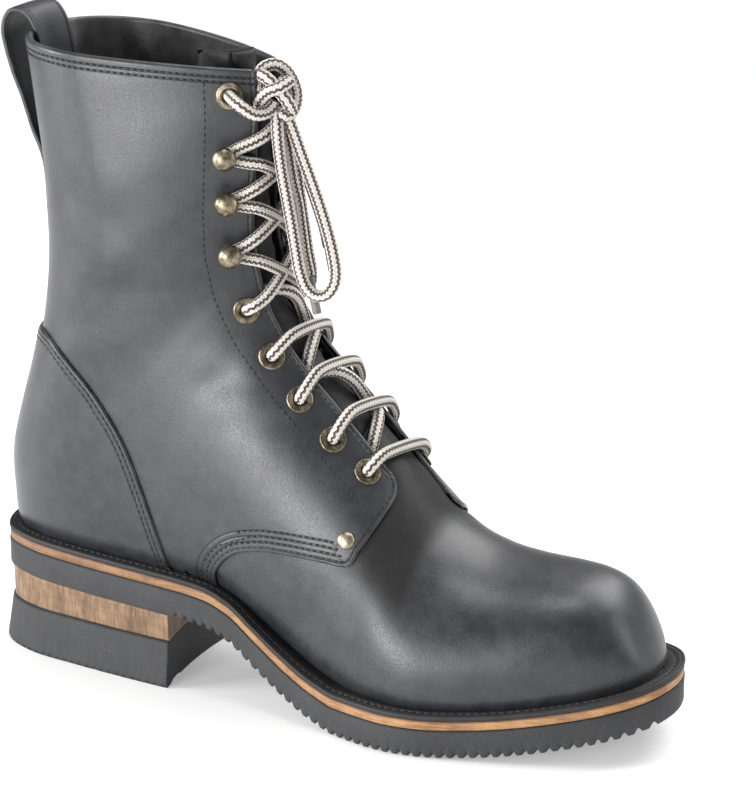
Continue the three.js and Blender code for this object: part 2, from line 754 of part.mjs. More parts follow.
function pullLoop() {
  const spots = LOOP.map((r) => {
    const z = seat + r.z * shaftHeight;
    const { v } = locate(0.02 * length, Math.min(z, seat + shaftHeight), 1);
    return { x: r.x + blend(rows, "bx", v), z, sag: r.sag };
  });
  const list = [];
  const steps = 24;
  const half = loopWidth / 2;
  for (let i = 0; i <= steps; i += 1) {
    const v = (i / steps) * (spots.length - 1);
    const p = new THREE.Vector2(blend(spots, "x", v), blend(spots, "z", v));
    const ahead = new THREE.Vector2(blend(spots, "x", v + 0.02), blend(spots, "z", v + 0.02));
    const t = ahead.sub(p).normalize();
    const n = new THREE.Vector2(-t.y, t.x).multiplyScalar(loopThick / 2);
    const sag = blend(spots, "sag", v);
    const at = (share, side) => new THREE.Vector3(
      p.x + side * n.x + sag * share * share, share * half, p.y + side * n.y);
    const across = [-1, -0.5, 0, 0.5, 1];
    list.push([...across.map((s) => at(s, 1)), ...across.reverse().map((s) => at(s, -1))]);
  }
  return loft(list);
}

const wallZone = formSolid(layer + gap)
  .subtract(formSolid(-wall - gap))
  .subtract(aboveCollar.translate([0, 0, gap]));
add("pull_loop", pullLoop().subtract(wallZone), colours.leather, 0.45);

// Eyelets, hooks and rivets
const eyeletLow = -wall - layer - eyeletUnder;
const eyelet = turned([
  [eyeletHole, eyeletLow], [eyeletBarrel, eyeletLow], [eyeletBarrel, gap], [eyeletOuter, gap],
  [eyeletOuter - 0.5, gap + 0.7], [eyeletBarrel, gap + eyeletFlange], [eyeletHole, gap + 0.6],
  [eyeletHole, eyeletLow],
], 8);
const hook = turned([
  [0, gap], [hookBase, gap], [hookBase, gap + 0.4], [hookStem, gap + 0.7], [hookStem, hookUnder],
  [hookBall * 0.85, hookUnder + 0.1 * hookHeight], [hookBall, hookUnder + 0.35 * hookHeight],
  [hookBall * 0.8, hookUnder + 0.75 * hookHeight], [hookBall * 0.4, hookUnder + 0.96 * hookHeight],
  [0, hookUnder + hookHeight],
], 8);
const rivet = turned([
  [0, gap], [rivetRadius, gap], [rivetRadius * 0.85, gap + rivetHeight * 0.6],
  [rivetRadius * 0.45, gap + rivetHeight * 0.95], [0, gap + rivetHeight],
], 8);
const sideName = (side) => (side < 0 ? "lateral" : "medial");
for (const side of sides) {
  EYELETS.forEach((spot, i) => {
    const solid = fromGeometry(seated(eyelet, spot, side, 0));
    add(`eyelet_${sideName(side)}_${i + 1}`, solid, colours.brass, 0.35, 0.9);
  });
  HOOKS.forEach((spot, i) => {
    const solid = fromGeometry(seated(hook, spot, side, 0));
    add(`hook_${sideName(side)}_${i + 1}`, solid, colours.brass, 0.35, 0.9);
  });
  add(`rivet_${sideName(side)}`, fromGeometry(seated(rivet, RIVET, side, 0)), colours.brass, 0.4, 0.9);
}

// Lace over the throat: from one side's eyelet or hook, over both edges, to the other side
const overEyelet = layer + gap + eyeletFlange + 2 * gap + laceRadius;
const overLeather = layer + 3 * gap + laceRadius;
const edgeRoom = -0.6;
const barStep = 0.4;
const strandSteps = 9;

function overThroat(a, b, endA, endB) {
  const on = (t, turn, lift) => onForm(a.v + (b.v - a.v) * t, turn, lift);
  const edge = (end, t, side) => {
    const v = a.v + (b.v - a.v) * t;
    const turn = turnAt(v, throatHalf(v) + edgeRoom);
    const half = (side * turn + end.turn) / 2;
    return [on(t, half, (end.lift + overLeather) / 2 + gap), on(t, side * turn, overLeather)];
  };
  const side = Math.sign(a.turn);
  const first = { turn: a.turn * endA.reach, lift: endA.lift };
  const last = { turn: b.turn * endB.reach, lift: endB.lift };
  return tube([
    onForm(a.v, first.turn, endA.lift),
    ...edge(first, endA.edge, side),
    ...edge(last, 1 - endB.edge, -side).reverse(),
    onForm(b.v, last.turn, endB.lift),
  ], laceRadius, strandSteps);
}

EYELETS.slice(2).forEach((spot, i) => {
  const near = { lift: overEyelet, reach: 1, edge: barStep };
  const bar = overThroat(place(spot, -1), place(spot, 1), near, { ...near, edge: 0 });
  add(`lace_bar_${i + 1}`, bar, colours.lace, 0.9);
});

// Crossings from the second eyelets up to the hooks, joined where they cross
const hookReach = 24;
const atHook = 1 - (hookStem + gap + laceRadius) / hookReach;
const crossLow = 0.1;
const crossHigh = 0.3;
const stops = [EYELETS[1], ...HOOKS];
let crossings = null;
const join = (piece) => {
  crossings = crossings ? crossings.add(piece) : piece;
};
for (let i = 0; i + 1 < stops.length; i += 1) {
  const first = i === 0;
  for (const side of sides) {
    const low = place(stops[i], side);
    const high = place(stops[i + 1], -side);
    const atEyelet = { lift: overEyelet, reach: 1, edge: crossLow };
    const below = first ? atEyelet : { lift: overLeather, reach: atHook, edge: crossLow };
    join(overThroat(low, high, below, { lift: overLeather, reach: atHook, edge: crossHigh }));
  }
}
const topHook = HOOKS[HOOKS.length - 1];
const meetRow = locate(0.44 * length, seat + 0.87 * shaftHeight, 1).v;
for (const side of sides) {
  const low = place(topHook, side);
  const half = throatHalf(meetRow);
  join(tube([
    onForm(low.v, low.turn * atHook, overLeather),
    onForm((low.v + meetRow) / 2, side * turnAt(meetRow, half + edgeRoom), overLeather + gap),
    onForm(meetRow, 0, -3),
  ], laceRadius, strandSteps - 2));
}
add("lace_crossings", crossings, colours.lace, 0.9);

// Knot, bow loops and ends; their points are chosen by hand
const point = ([x, y, z]) => new THREE.Vector3(x, y, z);
const KNOT = [139, -12, 258.5];
const knotSize = [7.5, 10, 9.5];
const knot = new THREE.SphereGeometry(1, 10, 7);
knot.scale(...knotSize);
knot.translate(...KNOT);
const knotSolid = fromGeometry(knot);
add("lace_knot", knotSolid, colours.lace, 0.9);
const knotRoom = new THREE.SphereGeometry(1, 10, 7);
knotRoom.scale(...knotSize.map((s) => s + gap));
knotRoom.translate(...KNOT);
const knotClear = fromGeometry(knotRoom);

const topEyelet = (side) => {
  const spot = place(EYELETS[0], side);
  return onForm(spot.v, spot.turn, overEyelet).toArray();
};
const CORDS = {
  lace_lead_lateral: [
    topEyelet(-1), [126.5, -27.5, 253.5], [130.5, -24, 251.5], [134, -19.5, 252.5], [137, -15, 256],
  ],
  lace_lead_medial: [topEyelet(1), [128.5, 11, 252], [133, 7, 257], [137, -2, 261]],
  bow_loop_front: [
    [142, -13.5, 254], [144, -14.2, 248], [146, -14, 241], [149.5, -13.2, 229.5],
    [154, -12.5, 213.5], [159, -12.5, 199.5], [162, -13, 190.5], [162.3, -13.5, 185],
    [160, -14.5, 180], [155.5, -15.5, 176.5], [151.5, -16.5, 178], [148.5, -17.5, 183],
    [147, -18.5, 190], [146.4, -19, 199], [146, -19.5, 209], [144.5, -19.8, 219.5],
    [142.5, -20, 231.5], [141.3, -20, 243], [140.3, -18.5, 250], [139.5, -16.5, 255],
  ],
  bow_loop_back: [
    [145, -9.5, 256], [148, -8.6, 251], [149.5, -4.5, 241], [151.5, -1.5, 227], [153.5, -0.5, 213],
    [154.5, 0.5, 201], [154, 2.5, 193], [151, 5.5, 187.5], [147, 8, 192], [146, 8, 203],
    [146, 6.5, 215], [145.5, 4, 229], [144.3, 1, 241], [144.8, -2.6, 251], [143, -6.5, 256],
  ],
  lace_end_front: [
    [140.5, -9.5, 254], [141.2, -8, 248], [142, -7.5, 238], [143, -7.5, 225], [144, -8, 212],
    [146, -8, 197], [149, -8, 184],
  ],
  lace_end_back: [
    [139, -5, 256], [138.2, 1.2, 250.5], [143.5, 9, 240], [145, 13, 225], [145, 15, 209],
    [145.5, 16, 196],
  ],
};
for (const [name, points] of Object.entries(CORDS)) {
  const run = tube(points.map(point), laceRadius, Math.max(strandSteps - 1, points.length + 3));
  add(name, run.subtract(knotClear), colours.lace, 0.9);
}
for (const name of ["front", "back"]) {
  const path = new THREE.CatmullRomCurve3(CORDS[`lace_end_${name}`].map(point));
  const along = path.getTangent(1);
  const start = path.getPoint(1).addScaledVector(along, gap);
  const end = start.clone().addScaledVector(along, tipLength);
  add(`lace_tip_${name}`, tube([start, end], tipRadius, 1), colours.leatherDark, 0.4);
}

// Origin under the middle of the boot, on the floor
const bounds = new THREE.Box3();
const cords = new Set(["lace_knot", ...Object.keys(CORDS), "lace_tip_front", "lace_tip_back"]);
for (const part of group.children) {
  if (!cords.has(part.name)) bounds.expandByObject(part);
}
const centre = bounds.getCenter(new THREE.Vector3());
for (const part of group.children) part.position.set(-centre.x, -centre.y, -bounds.min.z);

export default group;
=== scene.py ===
"""Right work boot on its sole: the pieces a viewer sees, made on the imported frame."""
import math

import bmesh
import bpy
import numpy as np
from mathutils import Matrix, Vector


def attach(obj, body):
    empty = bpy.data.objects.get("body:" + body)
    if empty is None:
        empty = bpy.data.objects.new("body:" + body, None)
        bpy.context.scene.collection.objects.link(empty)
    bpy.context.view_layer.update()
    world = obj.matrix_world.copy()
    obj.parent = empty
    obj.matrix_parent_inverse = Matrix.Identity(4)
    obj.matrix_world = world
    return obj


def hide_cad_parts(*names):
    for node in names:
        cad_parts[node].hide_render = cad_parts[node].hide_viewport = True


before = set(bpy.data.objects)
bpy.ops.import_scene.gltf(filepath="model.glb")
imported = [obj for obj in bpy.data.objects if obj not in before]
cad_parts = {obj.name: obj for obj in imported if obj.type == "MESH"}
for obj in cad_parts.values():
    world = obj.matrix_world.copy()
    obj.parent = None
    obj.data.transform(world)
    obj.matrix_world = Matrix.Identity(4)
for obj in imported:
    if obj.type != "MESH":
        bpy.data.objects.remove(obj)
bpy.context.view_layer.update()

# Sizes of the boot in millimetres
LENGTH, BALL, SHAFT = 311.0, 110.0, 219.0
SHIFT_X, SHIFT_Y = -154.386, 1.615
HEEL_RISE, TOE_SPRING, SPRING_POWER, SPRING_START = 32.5, 16.5, 1.7, 0.7
OUTSOLE, MIDSOLE, WELT = 12.0, 4.2, 2.3
LEDGE, TUCK, BULGE, RIDGE, INSTEP = 7.5, 8.0, 1.06, 2.5, 41.0
HEEL_LENGTH, LIFT, STACK_INSET, BREAST = 95.0, 20.0, 1.5, 4.0
TREAD_START, TREAD_PITCH, TREAD_DEPTH = 98.0, 4.5, 2.0
WALL, LAYER, SKIN_HALF, SKIN_MID = 1.8, 1.2, 1.5, -0.3
THROAT_BASE, THROAT_TOP, MEDIAL_DROP, MEDIAL_FLAP = 12.5, 11.0, 8.0, 22.0
LACE = 2.6

# Stitch rows, each by its distance from the edge that it follows
QUARTER_ROWS, COLLAR_ROWS, FACING_ROW, EYELET_ROW = (2.0, 4.4, 6.8, 9.2), (3.6, 5.8), 2.6, 22.0
COUNTER_ROWS, STRAP_ROW, WELT_ROW = (2.2, 4.4), 2.4, 3.6


def table(names, text):
    """Rows of numbers under named columns."""
    rows = [[float(x) for x in line.split()] for line in text.strip().splitlines()]
    return {name: np.array([row[i] for row in rows]) for i, name in enumerate(names.split())}


OUTLINE = table("at lateral medial", """
.02 .172 .16
.07 .256 .25
.15 .296 .295
.27 .333 .3
.42 .365 .31
.55 .45 .39
.66 .515 .47
.77 .455 .482
.87 .365 .42
.945 .27 .3
.985 .16 .165""")
SHANK = table("at rise", """
0 1.09
.15 1.045
.305 1
.36 .95
.4 .82
.44 .57
.495 .27
.54 .09
.58 0
1 0""")
FOOT = table("back rise widest low high", """
.001 .03 .5 3 2.2
.006 .16 .46 3 2.2
.02 .41 .42 3 2.2
.04 .7 .38 3.2 2.2
.065 .92 .36 3.2 2.25
.097 1.05 .34 3.4 2.3
.14 1.13 .32 3.5 2.25
.2 1.2 .3 3.5 2.15
.25 1.3 .29 3.5 2.05
.3 1.49 .28 3.6 1.95
.347 1.86 .28 3.7 1.9
.395 2.31 .29 3.8 1.85
.45 2.68 .31 3.9 1.85""")
LEG = table("foot rise front top half side lean widest low high", """
.4695 -.036 .4839 .4224 .327 -.027 .018 .36 4 1.9
.3859 -.036 .4566 .4726 .318 -.018 .009 .38 4 1.9
.2958 -.036 .4421 .5205 .309 -.009 0 .4 3.6 1.9
.2058 -.036 .4357 .5571 .305 0 -.009 .42 3.2 1.85
.1286 -.036 .4325 .5959 .305 0 -.018 .44 2.9 1.8
.0675 -.032 .4318 .6301 .305 0 -.027 .46 2.6 1.75
.0305 -.005 .4318 .6667 .305 0 -.036 .46 2.4 1.7
.0219 .06 .4322 .7032 .305 0 -.045 .46 2.3 1.65
.0225 .146 .4341 .7397 .309 0 -.055 .45 2.3 1.6
.0392 .241 .4367 .7763 .314 0 -.059 .44 2.25 1.55
.0588 .333 .4392 .8128 .318 0 -.064 .42 2.2 1.5
.0759 .429 .4418 .8447 .323 0 -.068 .4 2.2 1.48
.0875 .539 .4437 .8767 .327 0 -.073 .38 2.2 1.45
.0907 .648 .4457 .9041 .332 0 -.077 .36 2.2 1.43
.0868 .753 .4476 .9315 .334 .005 -.082 .34 2.2 1.42
.0778 .858 .4489 .9589 .334 .007 -.085 .32 2.2 1.4
.0688 .95 .4495 .9909 .334 .009 -.086 .31 2.2 1.4
.0608 1.03 .4495 1.0365 .334 .009 -.086 .3 2.2 1.4
.0547 1.09 .4489 1.0959 .334 .009 -.086 .3 2.2 1.4""")
QUARTER_EDGE = table("x z", """
.377 -.1
.374 -.02
.376 .003
.387 .029
.41 .056
.448 .071
.491 .075
.542 .075
.583 .077
.594 .108
.602 .13
.611 .164
.617 .2
.62 .24""")
COUNTER_EDGE = table("x z", """
0 .43
.06 .432
.1 .43
.126 .423
.175 .368
.216 .298
.242 .237
.266 .151
.287 .063
.297 .005
.303 -.1""")
EYELETS = ((0.388, 0.926), (0.402, 0.516), (0.4375, 0.431), (0.4795, 0.3545), (0.5285, 0.286), (0.5765, 0.23))
HOOKS = ((0.381, 0.631), (0.3805, 0.731), (0.381, 0.817))
RIVET = (0.573, 0.12)
STRAP = table("x z sag", """
3.2 .85 3.2
3.2 .92 3.2
3.2 .985 2.4
.6 1.024 1
-4 1.035 .6
-9 1.028 .6
-11.6 1 .6
-12 .965 .8
-10.5 .915 1.2
-8 .865 1.8
-6 .81 2.4
-2.6 .745 3
-2.6 .65 3
-2.6 .55 3
-2.6 .455 3""")


def to_frame(points):
    """Points in millimetres from the heel, in the shared frame's metres."""
    return (np.asarray(points, float) + (SHIFT_X, SHIFT_Y, 0.0)) / 1000.0


def smooth(low, high, x):
    """0 below low, 1 above high, and an easy rise between."""
    t = np.clip((x - low) / (high - low), 0, 1)
    return t * t * (3 - 2 * t)


def curve(column, v):
    """Catmull-Rom through a column of a table, held at its ends."""
    last = len(column) - 1
    i = np.clip(np.floor(v).astype(int), 0, last - 1)
    t = v - i
    a, b, c, d = (column[np.clip(i + k, 0, last)] for k in (-1, 0, 1, 2))
    return 0.5 * (2 * b + (c - a) * t + (2 * a - 5 * b + 4 * c - d) * t**2 + (3 * b - a - 3 * c + d) * t**3)


def along(xs, ys, x):
    """Monotone cubic through a table, flat at both ends."""
    x = np.clip(np.asarray(x, float), xs[0], xs[-1])
    k = np.clip(np.searchsorted(xs, x, side="right") - 1, 0, len(xs) - 2)
    chord = np.diff(ys) / np.diff(xs)
    slope = np.zeros(len(xs))
    both = chord[:-1] * chord[1:] > 0
    slope[1:-1][both] = 2 * chord[:-1][both] * chord[1:][both] / (chord[:-1] + chord[1:])[both]
    h = xs[k + 1] - xs[k]
    t = (x - xs[k]) / h
    s = 1 - t
    return ((1 + 2 * t) * s * s * ys[k] + t * s * s * h * slope[k]
            + t * t * (3 - 2 * t) * ys[k + 1] - t * t * s * h * slope[k + 1])


def tread(x):
    """Height of the outsole's underside."""
    x = np.asarray(x, float)
    spring = TOE_SPRING * np.clip((x / LENGTH - SPRING_START) / (1 - SPRING_START), 0, None) ** SPRING_POWER
    return HEEL_RISE * along(SHANK["at"], SHANK["rise"], x / LENGTH) + spring


def outsole_top(x):
    return tread(x) + OUTSOLE


def midsole_top(x):
    return outsole_top(x) + MIDSOLE


def welt_top(x):
    return midsole_top(x) + WELT


SEAT = float(welt_top(0.0))


def collar(x):
    """Height of the slanting top edge."""
    return SEAT + SHAFT - 0.05 * (x - 0.06 * LENGTH)


def make_outline(steps=220):
    """Closed centripetal curve round the sole, as points and unit tangents."""
    at = OUTLINE["at"] * LENGTH
    ring = [(0.0, 0.0), *zip(at, -OUTLINE["lateral"] * BALL), (LENGTH, -0.01 * BALL),
            *zip(at[::-1], OUTLINE["medial"][::-1] * BALL)]
    ring = np.array(ring)
    found = []
    for i in range(len(ring)):
        p = ring[[(i - 1) % len(ring), i, (i + 1) % len(ring), (i + 2) % len(ring)]]
        d = np.sqrt(np.linalg.norm(np.diff(p, axis=0), axis=1))
        m1 = ((p[1] - p[0]) / d[0] - (p[2] - p[0]) / (d[0] + d[1]) + (p[2] - p[1]) / d[1]) * d[1]
        m2 = ((p[2] - p[1]) / d[1] - (p[3] - p[1]) / (d[1] + d[2]) + (p[3] - p[2]) / d[2]) * d[1]
        t = (np.arange(steps) / steps)[:, None]
        found.append(p[1] + m1 * t + (-3 * p[1] + 3 * p[2] - 2 * m1 - m2) * t**2
                     + (2 * p[1] - 2 * p[2] + m1 + m2) * t**3)
    found = np.concatenate(found)
    step = np.roll(found, -1, axis=0) - np.roll(found, 1, axis=0)
    return found, step / np.linalg.norm(step, axis=1)[:, None]


RING, RING_TANGENT = make_outline()
RING_LENGTH = np.concatenate([[0], np.cumsum(np.linalg.norm(np.diff(RING, axis=0, append=RING[:1]), axis=1))])


def ring_at(share, inset):
    """Points of the sole's outline moved inward, by share of the way round."""
    s = (share % 1.0) * RING_LENGTH[-1]
    wrap = lambda a: np.interp(s, RING_LENGTH, np.append(a, a[0]))
    x, y = wrap(RING[:, 0]), wrap(RING[:, 1])
    tx, ty = wrap(RING_TANGENT[:, 0]), wrap(RING_TANGENT[:, 1])
    return x - inset * ty, y + inset * tx


def side_at(x, inset, side):
    """Sole outline at a place along it: the place, held inside the inset shape, and its y."""
    px = RING[:, 0] - inset * RING_TANGENT[:, 1]
    py = RING[:, 1] + inset * RING_TANGENT[:, 0]
    low, high = int(np.argmin(px)), int(np.argmax(px))
    count = len(px)
    if side < 0:
        pick = np.arange(low, low + (high - low) % count + 1) % count
    else:
        pick = np.arange(high, high + (low - high) % count + 1)[::-1] % count
    xs, ys = px[pick], py[pick]
    keep = np.concatenate([[True], np.diff(np.maximum.accumulate(xs)) > 1e-9])
    held = np.clip(x, xs[keep][0], xs[keep][-1])
    return held, np.interp(held, xs[keep], ys[keep])


def make_rows():
    """The last's sections: back and front ends in side view, half width, middle, ridge and roundness."""
    toe = float(np.max(RING[:, 0] - LEDGE * RING_TANGENT[:, 1]))
    x = toe - FOOT["back"] * LENGTH
    medial, lateral = side_at(x, LEDGE, 1)[1], side_at(x, LEDGE, -1)[1]
    foot = dict(bx=x, bz=welt_top(x) - TUCK, fx=x, fz=welt_top(x) + FOOT["rise"] * INSTEP,
                half=BULGE * (medial - lateral) / 2, centre=(medial + lateral) / 2,
                ridge=RIDGE * np.minimum(1, FOOT["back"] / 0.2))
    x = LEG["foot"] * LENGTH
    leg = dict(bx=x, bz=welt_top(x) + LEG["rise"] * SHAFT,
               fx=LEG["front"] * LENGTH, fz=SEAT + LEG["top"] * SHAFT,
               half=LEG["half"] * BALL, centre=LEG["side"] * BALL, ridge=LEG["lean"] * BALL)
    for key in ("widest", "low", "high"):
        foot[key], leg[key] = FOOT[key], LEG[key]
    return {key: np.concatenate([foot[key], leg[key]]) for key in foot}


ROWS = make_rows()
LAST = len(ROWS["bx"]) - 1


def form(v, turn):
    """Point of the last: v from toe to collar, turn from -1, the lateral foot of a section, over 0 to 1."""
    v, turn = np.broadcast_arrays(np.asarray(v, float), np.asarray(turn, float))
    get = {key: curve(column, v) for key, column in ROWS.items()}
    angle = np.pi * (1 - np.minimum(np.abs(turn), 1))
    low = angle < np.pi / 2
    power = 2 / np.where(low, get["low"], get["high"])
    rise = np.abs(np.cos(angle)) ** power
    u = np.where(low, get["widest"] * (1 - rise), get["widest"] + (1 - get["widest"]) * rise)
    w = np.abs(np.sin(angle)) ** power * get["half"] * np.sign(turn)
    return np.stack([get["bx"] + u * (get["fx"] - get["bx"]),
                     get["centre"] * (1 - u) + w + get["ridge"] * u * u,
                     get["bz"] + u * (get["fz"] - get["bz"])], -1)


def form_steps(v, turn, dv=0.02, dt=0.004):
    """How the last's point moves for a unit of row and of turn."""
    v, turn = np.broadcast_arrays(np.asarray(v, float), np.asarray(turn, float))
    v0, v1 = np.maximum(v - dv, 0), np.minimum(v + dv, LAST)
    t0, t1 = np.maximum(turn - dt, -1), np.minimum(turn + dt, 1)
    return ((form(v1, turn) - form(v0, turn)) / (v1 - v0)[..., None],
            (form(v, t1) - form(v, t0)) / (t1 - t0)[..., None])


def normal(v, turn):
    by_v, by_turn = form_steps(v, turn)
    n = np.cross(by_turn, by_v)
    return n / np.maximum(np.linalg.norm(n, axis=-1), 1e-9)[..., None]


def on_form(v, turn, grow):
    """Point off the last by a distance outward."""
    return form(v, turn) + normal(v, turn) * np.asarray(grow, float)[..., None]


def locate(x, z, side):
    """Row and turn of a side-view place."""
    x, z = np.broadcast_arrays(np.asarray(x, float), np.asarray(z, float))
    low, high = np.full(x.shape, 1.0), np.full(x.shape, float(LAST))
    for _ in range(40):
        mid = (low + high) / 2
        bx, bz, fx, fz = (curve(ROWS[k], mid) for k in ("bx", "bz", "fx", "fz"))
        past = (fx - bx) * (z - bz) - (fz - bz) * (x - bx) > 0
        low, high = np.where(past, mid, low), np.where(past, high, mid)
    v = (low + high) / 2
    bx, bz = curve(ROWS["bx"], v), curve(ROWS["bz"], v)
    wanted = np.hypot(x - bx, z - bz)
    near = np.where(wanted < np.hypot(form(v, 0.5)[..., 0] - bx, form(v, 0.5)[..., 2] - bz), 1.0, 0.5)
    far = np.where(near > 0.7, 0.5, 0.0)
    for _ in range(40):
        mid = (near + far) / 2
        p = form(v, side * mid)
        more = np.hypot(p[..., 0] - bx, p[..., 2] - bz) > wanted
        far, near = np.where(more, mid, far), np.where(more, near, mid)
    return v, side * (near + far) / 2


def turn_at(v, reach):
    """Turn at which the last lies a distance to the side of its ridge."""
    v, reach = np.broadcast_arrays(np.asarray(v, float), np.asarray(reach, float))
    ridge = form(v, np.zeros(v.shape))[..., 1]
    near, far = np.zeros(v.shape), np.full(v.shape, 0.5)
    for _ in range(30):
        mid = (near + far) / 2
        more = form(v, mid)[..., 1] - ridge > reach
        far, near = np.where(more, mid, far), np.where(more, near, mid)
    return (near + far) / 2


THROAT_FIRST = float(locate(0.615 * LENGTH, SEAT + 0.18 * SHAFT, 1)[0])


def throat_half(v):
    """Half the gap between the facings at a row."""
    up = np.clip((v - THROAT_FIRST) / (LAST - THROAT_FIRST), 0, None)
    return THROAT_BASE + (THROAT_TOP - THROAT_BASE) * up


def place(spot, side):
    """Row and turn of an eyelet, hook or rivet; the medial ones sit lower down the throat."""
    x, z = spot[0] * LENGTH, SEAT + spot[1] * SHAFT
    if side > 0:
        v = float(locate(x, z, side)[0])
        down = form(v - 0.1, 0) - form(v + 0.1, 0)
        down = down[[0, 2]] / np.hypot(down[0], down[2]) * MEDIAL_DROP
        x, z = x + down[0], z + down[1]
    v, turn = locate(x, z, side)
    return float(v), float(turn)


def walk(v, turn, move):
    """Row and turn reached from another by a move in millimetres along the last."""
    target = form(v, turn) + move
    for _ in range(5):
        by_v, by_turn = form_steps(v, turn)
        left = target - form(v, turn)
        a, b, c = ((p * q).sum(-1) for p, q in ((by_v, by_v), (by_v, by_turn), (by_turn, by_turn)))
        e, f = (by_v * left).sum(-1), (by_turn * left).sum(-1)
        det = np.maximum(a * c - b * b, 1e-9)
        v = np.clip(v + (e * c - f * b) / det, 0, LAST)
        turn = np.clip(turn + (f * a - e * b) / det, -1, 1)
    return v, turn


def beside(v, turn, distance):
    """A line on the last beside another, by a distance to its left seen from outside."""
    p = form(v, turn)
    ahead = np.gradient(p, axis=0)
    ahead /= np.maximum(np.linalg.norm(ahead, axis=1), 1e-9)[:, None]
    v, turn = walk(v, turn, np.cross(normal(v, turn), ahead) * distance)
    reach = min(3 + int(abs(distance)), len(v) // 6)
    window = np.hanning(2 * reach + 3)[1:-1]
    v, turn = (np.pad(row, reach, mode="reflect", reflect_type="odd") for row in (v, turn))
    return tuple(np.convolve(row, window / window.sum(), "valid") for row in (v, turn))


def even(points, step=None, count=None):
    """A line of points evenly spaced along the one given."""
    gone = np.concatenate([[0], np.cumsum(np.linalg.norm(np.diff(points[:, :3], axis=0), axis=1))])
    count = count or max(2, int(round(gone[-1] / step)) + 1)
    at = np.linspace(0, gone[-1], count)
    return np.stack([np.interp(at, gone, points[:, k]) for k in range(points.shape[1])], 1)


def spline(points, steps=14):
    """Centripetal curve through points, as closely spaced points."""
    p = np.asarray(points, float)
    p = np.vstack([2 * p[0] - p[1], p, 2 * p[-1] - p[-2]])
    found = []
    for i in range(1, len(p) - 2):
        q = p[i - 1:i + 3]
        d = np.maximum(np.sqrt(np.linalg.norm(np.diff(q, axis=0), axis=1)), 1e-6)
        m1 = ((q[1] - q[0]) / d[0] - (q[2] - q[0]) / (d[0] + d[1]) + (q[2] - q[1]) / d[1]) * d[1]
        m2 = ((q[2] - q[1]) / d[1] - (q[3] - q[1]) / (d[1] + d[2]) + (q[3] - q[2]) / d[2]) * d[1]
        t = (np.arange(steps) / steps)[:, None]
        found.append(q[1] + m1 * t + (-3 * q[1] + 3 * q[2] - 2 * m1 - m2) * t**2
                     + (2 * q[1] - 2 * q[2] + m1 + m2) * t**3)
    return np.vstack([*found, p[-2]])


def distance_to(points, line):
    """Distance from each point to a line of points."""
    best = np.full(len(points), 1e9)
    for a, b in zip(line[:-1], line[1:]):
        ab = b - a
        size = max(np.linalg.norm(ab), 1e-9)
        t = np.clip(((points - a) @ ab) / size**2, 0, 1)
        best = np.minimum(best, np.linalg.norm(points - a - t[:, None] * ab, axis=1))
    return best


# Camera at the photograph's place
camera = bpy.data.objects.new("camera", bpy.data.cameras.new("camera"))
bpy.context.scene.collection.objects.link(camera)
bpy.context.scene.camera = camera
camera.data.sensor_width = 36.0
camera.data.lens = 129.49
camera.data.clip_start, camera.data.clip_end = 0.05, 20.0
camera.data.dof.use_dof = False
eye, aim = Vector((0.4975, -1.0170, 0.5094)), Vector((0.02118, 0.001615, 0.12955))
camera.rotation_mode = "QUATERNION"
camera.location = eye
roll = Matrix.Rotation(math.radians(0.17), 3, "Z").to_quaternion()
camera.rotation_quaternion = (aim - eye).to_track_quat("-Z", "Y") @ roll


# Shader building
class Net:
    """Short calls for making nodes in one tree."""

    def __init__(self, tree):
        self.tree = tree

    def node(self, kind, inputs=(), **settings):
        made = self.tree.nodes.new("ShaderNode" + kind)
        for name, value in settings.items():
            setattr(made, name, value)
        for name, value in dict(inputs).items():
            if isinstance(value, bpy.types.NodeSocket):
                self.tree.links.new(value, made.inputs[name])
            else:
                made.inputs[name].default_value = value
        return made

    def math(self, operation, *values):
        return self.node("Math", enumerate(values), operation=operation).outputs[0]

    def span(self, value, low, high):
        return self.node("MapRange", {"Value": value, "From Min": low, "From Max": high},
                         interpolation_type="SMOOTHSTEP").outputs[0]

    def mix(self, share, one, other):
        made = self.node("Mix", {0: share}, data_type="RGBA")
        for socket, value in ((made.inputs[6], one), (made.inputs[7], other)):
            if isinstance(value, bpy.types.NodeSocket):
                self.tree.links.new(value, socket)
            else:
                socket.default_value = (*value, 1.0)[:4]
        return made.outputs[2]

    def noise(self, where, scale, detail=3.0, rough=0.55, distortion=0.0):
        return self.node("TexNoise", {"Vector": where, "Scale": scale, "Detail": detail, "Roughness": rough,
                                      "Distortion": distortion}).outputs[0]

    def cells(self, where, scale, feature="F1", output="Distance"):
        return self.node("TexVoronoi", {"Vector": where, "Scale": scale}, feature=feature).outputs[output]

    def mark(self, name, output="Fac"):
        return self.node("Attribute", attribute_name=name).outputs[output]

    def place(self, stretch=(1, 1, 1)):
        where = self.node("TexCoord").outputs["Object"]
        return self.node("Mapping", {"Vector": where, "Scale": stretch}).outputs[0]

    def bump(self, height, depth, under=None, strength=1.0):
        inputs = {"Height": height, "Distance": depth, "Strength": strength}
        if under is not None:
            inputs["Normal"] = under
        return self.node("Bump", inputs).outputs[0]


def shared(name, inputs, outputs, build):
    """A node group with float inputs and named outputs."""
    tree = bpy.data.node_groups.new(name, "ShaderNodeTree")
    for label, value in inputs.items():
        tree.interface.new_socket(label, in_out="INPUT", socket_type="NodeSocketFloat").default_value = value
    for label, kind in outputs.items():
        tree.interface.new_socket(label, in_out="OUTPUT", socket_type="NodeSocket" + kind)
    net = Net(tree)
    start, end = tree.nodes.new("NodeGroupInput"), tree.nodes.new("NodeGroupOutput")
    for label, socket in build(net, start.outputs).items():
        tree.links.new(socket, end.inputs[label])
    return tree


